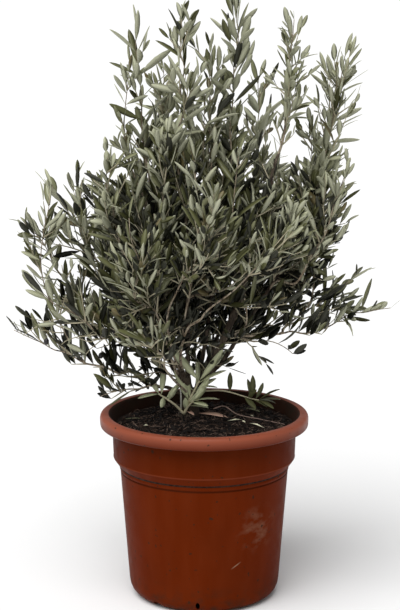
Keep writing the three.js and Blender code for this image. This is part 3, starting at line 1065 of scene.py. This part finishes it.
# places along the blade, and how wide it is there, as shares of its length and width
LEAF_PROFILE = ((0.10, 0.24), (0.32, 0.82), (0.56, 1.0), (0.79, 0.80), (0.93, 0.40))
PAIR_SPACING = 0.0222
MISSING_LEAVES = 0.20
OLIVE_LEAVES = 0.05
TONE_SPREAD = 0.95
# leaves lean out less, and are smaller, over this length at the tip of a shoot
TIP_REACH = 0.07
TIP_LEAN = 14
LEAN_GAIN = 36
LEAN_SPREAD = 13
TIP_SIZE = 0.66
SIZE_GAIN = 0.40
# leaves_shade and leaves_deep_shade are painted shade for leaves deep and low in the crown; leaves_pale is
# partly painted light high up
LEAF_COLOURS = {
    "leaves_shade": (0.0080, 0.0085, 0.0045),
    "leaves_deep_shade": (0.041, 0.042, 0.0145),
    "leaves_green": (0.106, 0.109, 0.041),
    "leaves_grey": (0.202, 0.207, 0.108),
    "leaves_pale": (0.430, 0.438, 0.290),
    "leaves_olive": (0.145, 0.118, 0.048),
}
TONES = ("leaves_shade", "leaves_deep_shade", "leaves_green", "leaves_grey", "leaves_pale")
# a spray's place among the tones: where it starts, and what height, reach, depth and a low place add; height
# and reach add painted light, depth and a low place painted shade
TONE_START = 0.70
TONE_HIGH = 2.3
TONE_OUT = 0.5
TONE_DEEP = -2.4
TONE_LOW = -2.0
SILVER = (0.41, 0.417, 0.295)
SILVER_SHADE = (0.045, 0.046, 0.033)
# leaves stand up from any shoot that lies flat, and most in the low sprays out at the sides
UPRIGHT = 0.12
UPRIGHT_GAIN = 0.7
SIDE_SPRAY_TOP = 0.60
SIDE_SPRAY_REACH = 0.16
# left of and below these, the short leaves are gone
THIN_LEFT = -0.21
THIN_TOP = 0.92
SHED_LENGTH = 0.037
# the round body of the crown, and the room that leaves need round the points they grow from
CROWN_MIDDLE = np.array([0.0, 0.03, 0.66])
CROWN_REACH = np.array([0.29, 0.31, 0.35])
TIP_ROOM = np.array([0.008, 0.010, 0.026])
CROWN_LOW = np.array(cad_box[0]) + TIP_ROOM * (1 - UP)
CROWN_HIGH = np.array(cad_box[1]) - TIP_ROOM


def leaf_blade():
    """One leaf of unit length and width: its points as (across, along, out), and its faces."""
    points = [(0, 0, 0)]
    for along, wide in LEAF_PROFILE:
        points += [(-wide / 2, along, 0.0), (wide / 2, along, 0.0), (0, along, 0.0), (0, along, -1.0)]
    points.append((0, 1, 0))
    upper = []
    lower = []
    for k in range(len(LEAF_PROFILE) - 1):
        left, right, top, under = (1 + 4 * k + i for i in range(4))
        upper += [(left, top, top + 4), (left, top + 4, left + 4)]
        upper += [(top, right, right + 4), (top, right + 4, top + 4)]
        lower += [(under, left, left + 4), (under, left + 4, under + 4)]
        lower += [(right, under, under + 4), (right, under + 4, right + 4)]
    tip = len(points) - 1
    left, right, top, under = 1, 2, 3, 4
    upper += [(0, top, left), (0, right, top)]
    lower += [(0, left, under), (0, under, right)]
    left, right, top, under = (tip - 4 + i for i in range(4))
    upper += [(left, top, tip), (top, right, tip)]
    lower += [(under, left, tip), (right, under, tip)]
    return np.array(points, float), np.array(upper), np.array(lower)


class Leaves:
    """Leaves waiting to be joined: where each starts, how it lies, its size, droop and fold."""

    def __init__(self):
        self.rows = []

    def add(self, base, axis, face, size, droop, fold):
        """Adds one leaf that grows along axis from its base, with its upper side towards face."""
        face = unit(face - axis * (face @ axis))
        self.rows.append(np.concatenate([base, axis, face, size, [droop, fold]]))

    def build(self, name, materials):
        """Makes the piece, with the upper faces in the first material and the undersides in the second."""
        blade, upper, lower = leaf_blade()
        rows = np.array(self.rows)
        base, axis, face = rows[:, 0:3], rows[:, 3:6], rows[:, 6:9]
        length, width, droop, fold = (rows[:, k, None] for k in range(9, 13))
        side = np.cross(axis, face)
        across = blade[None, :, 0] * width
        along = blade[None, :, 1] * length
        curl = -droop * length * blade[None, :, 1] ** 2
        out = fold * np.abs(across) + curl + blade[None, :, 2] * LEAF_THICKNESS
        points = (base[:, None] + side[:, None] * across[..., None]
                  + axis[:, None] * along[..., None] + face[:, None] * out[..., None])
        heap = Heap()
        heap.points = [points.reshape(-1, 3)]
        first = (np.arange(len(rows)) * len(blade))[:, None, None]
        heap.rows = [(upper[None] + first).reshape(-1, 3), (lower[None] + first).reshape(-1, 3)]
        heap.slots = [np.zeros(len(heap.rows[0]), np.int32), np.ones(len(heap.rows[1]), np.int32)]
        return heap.build(name, materials)


def leaf_at(leaves, here, along, turn, lean, size, upward):
    """Adds one leaf that leaves a shoot on the side given by turn, at an angle of lean degrees."""
    out = aside(along, turn)
    lean = math.radians(lean)
    axis = unit(math.cos(lean) * along + math.sin(lean) * out + draw.normal(0, 0.13, 3) + upward * UP)
    face = unit(math.sin(lean) * along - math.cos(lean) * out + 0.4 * UP) + draw.normal(0, 0.55, 3)
    leaves.add(here, axis, face, size, draw.normal(0.05, 0.10), draw.uniform(-0.1, 0.4))


def dress(shoot, tone, sprays):
    """Puts pairs of leaves along a shoot, each pair square to the last, closing towards its tip."""
    turn = draw.uniform(0, 2 * math.pi)
    end = shoot.run[-1]
    start = shoot.bare if shoot.rank > 0 else max(shoot.bare, 0.3 * end)
    spots = list(np.arange(start, end - 0.006, PAIR_SPACING * draw.uniform(0.85, 1.2))) + [end]
    vigour = shoot.size * draw.uniform(0.8, 1.2)
    for spot in spots:
        here, along = shoot.at(spot)
        if beside_sprout(here) or np.any(here < CROWN_LOW) or np.any(here > CROWN_HIGH):
            continue
        left = min((end - spot) / TIP_REACH, 1.0)
        young = TIP_SIZE + SIZE_GAIN * left
        side_spray = here[2] < SIDE_SPRAY_TOP and abs(here[0]) > SIDE_SPRAY_REACH
        upright = UPRIGHT + UPRIGHT_GAIN * (1 - abs(along[2])) + (UPRIGHT_GAIN if side_spray else 0.0)
        for half in (0, math.pi):
            if draw.random() < MISSING_LEAVES:
                continue
            lean = max(TIP_LEAN + LEAN_GAIN * left + draw.normal(0, LEAN_SPREAD), 3)
            length = LEAF_LENGTH * vigour * young * draw.uniform(0.55, 1.40)
            width = LEAF_WIDTH * vigour * draw.uniform(0.75, 1.2) * (0.65 + 0.35 * young)
            shade = int(np.clip(round(tone + draw.normal(0, TONE_SPREAD)), 0, len(TONES) - 1))
            name = "leaves_olive" if draw.random() < OLIVE_LEAVES else TONES[shade]
            facing = turn + half + draw.normal(0, 0.25)
            leaf_at(sprays[name], here, along, facing, lean, (length, width), upright)
        turn += math.radians(90 + draw.normal(0, 12))


def spray_tone(shoot):
    """How pale a spray is, as a place in TONES: painted shade inside and low, painted light high up and out
    at the tips.
    """
    tip = shoot.line[-1]
    high = np.clip((tip[2] - 0.50) / 0.60, 0, 1)
    low = np.clip((0.62 - tip[2]) / 0.10, 0, 1) * np.clip((0.27 - abs(tip[0])) / 0.12, 0.1, 1)
    outer = min(abs(tip[0]) / 0.35, 1)
    tone = TONE_START + TONE_HIGH * high + TONE_OUT * outer + TONE_DEEP * crown_depth(tip) + TONE_LOW * low
    return np.clip(tone + draw.normal(0, 0.5), 0, 4)


def crown_depth(point):
    """How deep in the round body of the crown a point is: 1 at its middle, 0 outside it."""
    away = np.linalg.norm((point - CROWN_MIDDLE) / CROWN_REACH)
    return float(np.clip(1.25 * (1 - away), 0, 1))


def shed(row):
    """Whether a leaf has dropped: the crown is thinner at the left, where the short leaves are gone."""
    return row[0] < THIN_LEFT and row[2] < THIN_TOP and row[9] < SHED_LENGTH


def plain_skin(name, colour, roughness=0.8, specular=0.3):
    """A material of one even colour."""
    material, _, shader = blank_material(name, roughness, specular)
    shader.inputs["Base Color"].default_value = rgba(colour)
    return material


sprays = {name: Leaves() for name in LEAF_COLOURS}
for shoot in shoots:
    dress(shoot, spray_tone(shoot), sprays)
silver = plain_skin("leaf underside", SILVER, 0.6)
silver_shade = plain_skin("shaded leaf underside", SILVER_SHADE, 0.6, 0.2)
for name, colour in LEAF_COLOURS.items():
    sprays[name].rows = [row for row in sprays[name].rows if not shed(row)]
    dark = name in ("leaves_shade", "leaves_deep_shade")
    upper_skin = plain_skin(name.replace("_", " "), colour, 0.42, 0.15 if dark else 0.5)
    piece = sprays[name].build(name, [upper_skin, silver_shade if dark else silver])
    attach(piece, "root")
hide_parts(*[m for m in masses if m not in LOW_SHOOTS])

# ---- Low shoots --------------------------------------------------------------------------------
# Two suckers: one that forks at the foot of the trunk, with long leaves of a pale fresh green, painted paler
# still as painted light from the front, and one that leans out to the right over the compost, with leaves
# like those of the crown.
# painted light: the sprout's leaves are painted brighter than their own pale green, for the light that falls
# on them from the front
SUCKER_GREEN_LIT = (0.64, 0.67, 0.42)
SUCKER_UNDER_LIT = (0.70, 0.72, 0.52)
SUCKER_STEM = (0.62, 0.57, 0.37)
SUCKER_STEM_PALE = (0.72, 0.66, 0.46)
SUCKER_LEAF_WIDTH = 0.0130
STEEP = 0.6
sucker_foot = stump + np.array([-0.009, -0.024, 0.020])
# where each stem of the sprout ends, from its foot, and its radius at the foot
SPROUT_STEMS = (
    ((-0.054, -0.014, 0.036), 0.0030),
    ((0.032, -0.012, 0.064), 0.0032),
    ((0.020, -0.020, 0.022), 0.0026),
)
# each leaf's stem, its place along it from 0 to 1, its direction and its length
SPROUT_LEAVES = (
    (0, 1.0, (-0.97, -0.15, -0.06), 0.046), (0, 0.9, (-0.15, -0.60, -0.70), 0.026),
    (0, 0.7, (0.45, -0.40, 0.72), 0.034), (0, 1.0, (-0.35, 0.20, 0.62), 0.034),
    (0, 0.8, (0.60, 0.25, 0.55), 0.048), (0, 0.95, (0.10, 0.35, 0.90), 0.066),
    (1, 1.0, (-0.62, -0.22, 0.80), 0.104), (1, 1.0, (0.60, -0.10, 0.78), 0.086),
    (1, 0.45, (-0.36, -0.30, 0.88), 0.088),
    (1, 0.95, (0.72, -0.35, 0.52), 0.074), (1, 0.9, (0.10, 0.30, 0.95), 0.060),
    (1, 0.8, (0.85, -0.30, 0.30), 0.050), (1, 0.65, (0.75, 0.25, 0.55), 0.062),
    (1, 0.7, (-0.75, 0.15, 0.55), 0.052), (1, 0.5, (-0.20, -0.15, 0.97), 0.066),
    (2, 1.0, (0.93, -0.20, 0.30), 0.056), (2, 0.9, (0.80, -0.50, 0.05), 0.040),
    (2, 1.0, (0.55, 0.10, 0.80), 0.060), (2, 0.7, (0.90, 0.10, -0.02), 0.044),
    (2, 0.4, (-0.05, -0.35, 0.75), 0.030), (1, 0.35, (0.65, -0.35, 0.65), 0.058),
)
# points of the leaning stem, from the foot of the trunk, and its leaves: place, direction and length
SPRIG_STEM = (
    (0.016, 0.0, 0.052), (0.075, -0.002, 0.054), (0.136, -0.008, 0.038), (0.152, -0.012, 0.036),
)
SPRIG_LEAVES = (
    (0.56, (0.02, -0.10, 1.0), 0.044), (0.90, (0.10, -0.15, 1.0), 0.052),
    (0.94, (-0.12, 0.25, 0.95), 0.044), (1.0, (0.80, -0.05, 0.60), 0.052),
    (1.0, (0.97, -0.10, 0.20), 0.048), (0.90, (0.85, -0.45, -0.22), 0.040),
    (1.0, (0.70, -0.60, -0.15), 0.042), (0.96, (0.45, 0.55, 0.70), 0.046),
    (0.80, (0.55, -0.60, -0.45), 0.042), (1.0, (0.92, 0.30, -0.02), 0.040),
    (0.86, (0.45, -0.50, 0.60), 0.032),
)


def sucker_leaf(leaves, here, way, length):
    """Adds a leaf that lies flat, or one that turns to the front if it points up or down."""
    axis = unit(np.array(way))
    face = np.array([0.1, -0.25, 1.0]) + draw.normal(0, 0.2, 3)
    if abs(axis[2]) > STEEP:
        face = np.array([0.3, -1.0, 0.3]) + draw.normal(0, 0.3, 3)
    width = (SUCKER_LEAF_WIDTH + 0.10 * max(length - 0.05, 0)) * draw.uniform(0.85, 1.1)
    leaves.add(here, axis, face, (length, width), draw.uniform(0.05, 0.25), 0.35)


sucker_leaves = Leaves()
sucker_wood = Heap()
for number, (rise, radius) in enumerate(SPROUT_STEMS):
    rise = np.array(rise)
    bend = sucker_foot + 0.4 * rise - 0.003 * UP
    line = smooth_line([sucker_foot - 0.012 * UP, bend, sucker_foot + rise], 0.006)
    sucker_wood.add(*tube(line, np.linspace(radius, radius * 0.6, len(line)), 8))
    for stem, share, way, length in SPROUT_LEAVES:
        if stem == number:
            sucker_leaf(sucker_leaves, line[int(share * (len(line) - 1))], way, length)
line = smooth_line([stump + np.array(p) for p in SPRIG_STEM], 0.008)
sucker_wood.add(*tube(line, np.linspace(0.0021, 0.0012, len(line)), 7))
sprig_leaves = Leaves()
for share, way, length in SPRIG_LEAVES:
    sucker_leaf(sprig_leaves, line[int(share * (len(line) - 1))], way, length)
sprout = sucker_leaves.build("sprout_leaves", [
    plain_skin("sucker leaf", SUCKER_GREEN_LIT, 0.5, 0.4), plain_skin("sucker underside", SUCKER_UNDER_LIT, 0.6)])
sprig = sprig_leaves.build("sprig_leaves", [
    plain_skin("sprig leaf", LEAF_COLOURS["leaves_green"], 0.5, 0.4), silver])
stems = sucker_wood.build("sucker_stems", [young_bark("sucker stem", SUCKER_STEM, SUCKER_STEM_PALE)])
for piece, slot in ((sprout, "foliage"), (sprig, "foliage"), (stems, "bark")):
    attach(piece, "root")
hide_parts("sprout")
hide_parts("leaning_sprig")

# ---- Olives ------------------------------------------------------------------------------------
# A few small ripe olives, nearly black. Each hangs on a thin stalk from a shoot that is not deep in
# the crown, in its lower half.
OLIVE_COUNT = 16
OLIVE_RADIUS = 0.0056
OLIVE_LENGTH = 0.0150
OLIVE_BLACK = (0.013, 0.011, 0.012)
STALK_LENGTH = 0.016
STALK_RADII = (0.0006, 0.0005, 0.0006)
FRUIT_LOWEST = 0.5
FRUIT_HIGHEST = 0.85


def add_olive(heap, here, way):
    """A stalk and the olive that hangs from its end."""
    end = here + STALK_LENGTH * unit(way - 0.9 * UP)
    heap.add(*tube(np.array([here, (here + end) / 2 + 0.002 * UP, end]), STALK_RADII, 5), 1)
    shares = np.linspace(0, 1, 11)
    axis = unit(end - here)
    line = end + np.outer(shares * OLIVE_LENGTH, axis)
    radii = OLIVE_RADIUS * np.sqrt(np.clip(1 - (2 * shares - 1) ** 2, 0.01, 1))
    heap.add(*tube(line, radii, 14), 0)


fruit = Heap()
fruiting = [s for s in shoots if s.rank > 0 and FRUIT_LOWEST < s.line[0][2] < FRUIT_HIGHEST
            and crown_depth(s.line[-1]) < 0.5]
for shoot in draw.choice(np.array(fruiting, dtype=object), OLIVE_COUNT, replace=False):
    here, along = shoot.at(shoot.run[-1] * draw.uniform(0.3, 0.8))
    add_olive(fruit, here, aside(along, draw.uniform(0, 2 * math.pi)))
olives = fruit.build("olives", [
    plain_skin("ripe olive", OLIVE_BLACK, 0.35, 0.5), plain_skin("olive stalk", YOUNG_TWIG, 0.7)])
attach(olives, "root")

# ---- Mulch -------------------------------------------------------------------------------------
# Loose shredded bark and fibres over the compost, in three browns, with a few pale splinters, a thin
# fallen twig, two dried pinkish leaves, two grey ones, and a bleached stick that stands by the trunk.
MULCH_COUNT = 5200
MULCH_COLOURS = ((0.0080, 0.0050, 0.0042), (0.036, 0.0210, 0.0145), (0.190, 0.130, 0.100))
MULCH_SHARES = (0.50, 0.38, 0.12)
MULCH_GIRTHS = (1.5, 1.0, 0.6)
MULCH_LONGEST = 0.034
FIBRE_COUNT = 1500
FIBRE_SHARES = (0.2, 0.4, 0.4)
FIBRE_LOWEST = 0.0005
FIBRE_HIGHEST = 0.007
WALL_GAP = 0.008
PALE_WOOD = (0.90, 0.86, 0.62)
DRIED_LEAF = (0.82, 0.53, 0.40)
FALLEN_TWIG = (0.36, 0.25, 0.205)
BLEACHED = (0.92, 0.90, 0.84)
# each splinter's ends, seen from above, and its width
SPLINTERS = (
    ((0.049, -0.036), (0.083, -0.026), 0.0026), ((0.092, -0.050), (0.130, -0.078), 0.0048),
    ((0.080, -0.034), (0.087, -0.050), 0.0040), ((-0.02, 0.11), (0.01, 0.118), 0.0025),
    ((0.10, 0.03), (0.108, 0.022), 0.0018), ((-0.13, -0.05), (-0.118, -0.058), 0.0014),
)
SPLINTER_THICKNESS = 0.0016
# points of the fallen twig: across, back and above the compost
FALLEN_LINE = (
    (0.020, 0.020, 0.018), (0.044, 0.030, 0.020), (0.072, 0.012, 0.008), (0.120, -0.004, 0.006),
    (0.172, -0.022, 0.006),
)
# each fallen leaf's place, its direction, its length and width, and its droop
DRIED_LEAVES = (
    ((-0.012, 0.012, 0.010), (0.97, -0.16, -0.02), (0.064, 0.0125), 0.12),
    ((-0.045, 0.024, 0.016), (0.6, -0.7, -0.1), (0.036, 0.010), 0.10),
)
DRIED_FACE = (0.1, -0.4, 1)
GREY_LEAVES = (
    ((-0.172, 0.022, 0.006), (0.97, 0.10, 0.03), (0.040, 0.009), 0.05),
    ((0.09, 0.10, 0.006), (0.6, -0.6, 0.03), (0.046, 0.010), 0.05),
)


def sliver(start, end, width, thickness, roll):
    """A splinter with pointed ends and a slight bend: six points and its faces."""
    way = unit(end - start)
    flat = unit(np.cross(way, UP))
    steep = np.cross(flat, way)
    side = math.cos(roll) * flat + math.sin(roll) * steep
    up = math.cos(roll) * steep - math.sin(roll) * flat
    middle = (start + end) / 2 + up * np.linalg.norm(end - start) * 0.06
    ring = [middle + side * width, middle + up * thickness, middle - side * width, middle - up * thickness]
    faces = []
    for k in range(4):
        after = 1 + (k + 1) % 4
        faces += [(0, after, 1 + k), (5, 1 + k, after)]
    return [start, *ring, end], [faces]


def on_compost(x, y, above):
    """A point so far above the compost."""
    return np.array([x, y, soil_top(x, y) + above])


def strewn_spot():
    """A random place on the compost, evenly spread over it."""
    radius = strewn_reach * math.sqrt(draw.random())
    angle = draw.uniform(0, 2 * math.pi)
    return radius * math.cos(angle), radius * math.sin(angle)


def add_chip(heap):
    """One chip of shredded bark, if it lies clear of the pot's wall."""
    middle = on_compost(*strewn_spot(), 0.0008)
    length = min(0.006 + draw.exponential(0.009), MULCH_LONGEST)
    turn = draw.uniform(0, 2 * math.pi)
    way = 0.5 * length * np.array([math.cos(turn), math.sin(turn), draw.normal(0.1, 0.32)])
    if max(np.hypot(*(middle + way)[:2]), np.hypot(*(middle - way)[:2])) > strewn_reach:
        return
    colour = int(draw.choice(3, p=MULCH_SHARES))
    width = length * draw.uniform(0.04, 0.13) * MULCH_GIRTHS[colour]
    heap.add(*sliver(middle - way, middle + way, width, width * 0.5, draw.normal(0, 0.6)), colour)


def add_fibre(heap):
    """One bent fibre that lies on the compost, if it lies clear of the pot's wall."""
    x, y = strewn_spot()
    heading = unit(draw.normal(0, 1, 3) * np.array([1, 1, 0.45]))
    line = [on_compost(x, y, 0.0015)]
    for _ in range(4):
        heading = unit(heading + draw.normal(0, 0.45, 3) * np.array([1, 1, 0.6]))
        ahead = line[-1] + heading * draw.uniform(0.003, 0.007)
        ground = soil_top(*ahead[:2])
        ahead[2] = np.clip(ahead[2], ground + FIBRE_LOWEST, ground + FIBRE_HIGHEST)
        line.append(ahead)
    if max(np.hypot(*p[:2]) for p in line) < strewn_reach:
        thick = draw.uniform(0.0004, 0.0010)
        radii = np.linspace(thick, 0.4 * thick, len(line))
        heap.add(*tube(np.array(line), radii, 4), int(draw.choice(3, p=FIBRE_SHARES)))


def fallen(name, places, face, fold, skin):
    """Dropped leaves on the compost, the same colour on both sides."""
    leaves = Leaves()
    for place, way, size, droop in places:
        leaves.add(on_compost(*place), unit(np.array(way)), face, size, droop, fold)
    return leaves.build(name, [skin, skin])


strewn_reach = soil_high.x - WALL_GAP
mulch = Heap()
for _ in range(MULCH_COUNT):
    add_chip(mulch)
for _ in range(FIBRE_COUNT):
    add_fibre(mulch)
mulch_skins = [plain_skin("mulch %d" % k, c, 0.85, 0.25) for k, c in enumerate(MULCH_COLOURS)]
bark_mulch = mulch.build("bark_mulch", mulch_skins)
litter = Heap()
for (x0, y0), (x1, y1), width in SPLINTERS:
    ends = (on_compost(x0, y0, 0.006), on_compost(x1, y1, 0.007))
    litter.add(*sliver(*ends, width, SPLINTER_THICKNESS, 0.15), 0)
fallen_twig = smooth_line([on_compost(*place) for place in FALLEN_LINE], 0.006)
litter.add(*tube(fallen_twig, np.linspace(0.0013, 0.0007, len(fallen_twig)), 6), 1)
stick_foot = sucker_foot + np.array([-0.007, 0.004, 0])
stick = [stick_foot - 0.01 * UP, stick_foot + 0.03 * UP, stick_foot + np.array([-0.003, 0, 0.064])]
litter.add(*tube(np.array(stick), (0.0019, 0.0016, 0.0012), 7), 2)
wood_litter = litter.build("wood_litter", [
    plain_skin("pale wood", PALE_WOOD), plain_skin("fallen twig", FALLEN_TWIG),
    plain_skin("bleached stick", BLEACHED)])
dried_skin = plain_skin("dried leaf", DRIED_LEAF, 0.7)
grey_skin = plain_skin("fallen leaf", LEAF_COLOURS["leaves_grey"], 0.7)
dried_leaves = fallen("dried_leaves", DRIED_LEAVES, np.array(DRIED_FACE), 0.5, dried_skin)
fallen_leaves = fallen("fallen_leaves", GREY_LEAVES, UP, 0.3, grey_skin)
for piece in (bark_mulch, wood_litter, dried_leaves, fallen_leaves):
    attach(piece, "root")

# ---- Studio ------------------------------------------------------------------------------------
# A pale seamless floor, one broad soft light from high on the left and in front, and an even white
# surround that lights the shaded side.
FLOOR_HALF = 3000
FLOOR_GREY = (0.86, 0.86, 0.86)
KEY_WAY = (0.28, 0.5, -1.0)
KEY_SPREAD = 55
KEY_STRENGTH = 3.1
SURROUND_STRENGTH = 0.40
CAMERA_PLACE = (-0.009, -3.4, 1.273)
CAMERA_PITCH = 10.66
FOCAL_LENGTH = 96.2
SENSOR_WIDTH = 36.0


def studio_floor():
    """A floor wide enough to have no edge in view."""
    shape = bmesh.new()
    bmesh.ops.create_grid(shape, x_segments=1, y_segments=1, size=FLOOR_HALF)
    floor = finished("floor", shape)
    floor.data.materials.append(plain_skin("pale floor", FLOOR_GREY, 0.9, 0.1))
    return floor


def soft_light(way, spread, strength):
    """A very broad even light that shines along a direction."""
    lamp = bpy.data.lights.new("key_light", "SUN")
    lamp.angle = math.radians(spread)
    lamp.energy = strength
    made = bpy.data.objects.new("key_light", lamp)
    made.rotation_euler = Vector(way).to_track_quat("-Z", "Y").to_euler()
    bpy.context.scene.collection.objects.link(made)


studio_floor()
soft_light(KEY_WAY, KEY_SPREAD, KEY_STRENGTH)

surround = bpy.data.worlds.new("surround")
surround.use_nodes = True
sky = surround.node_tree.nodes["Background"]
sky.inputs["Color"].default_value = (1, 1, 1, 1)
seen = node_of(surround.node_tree, "ShaderNodeLightPath").outputs["Is Camera Ray"]
glow = ramp(surround.node_tree, seen, 0.0, 1.0, SURROUND_STRENGTH, 1.0)
surround.node_tree.links.new(glow, sky.inputs["Strength"])
bpy.context.scene.world = surround
bpy.context.scene.view_settings.view_transform = "Standard"

lens = bpy.data.cameras.new("camera")
lens.lens = FOCAL_LENGTH
lens.sensor_width = SENSOR_WIDTH
camera = bpy.data.objects.new("camera", lens)
camera.location = CAMERA_PLACE
camera.rotation_euler = (math.radians(90 - CAMERA_PITCH), 0, 0)
bpy.context.scene.collection.objects.link(camera)
bpy.context.scene.camera = camera
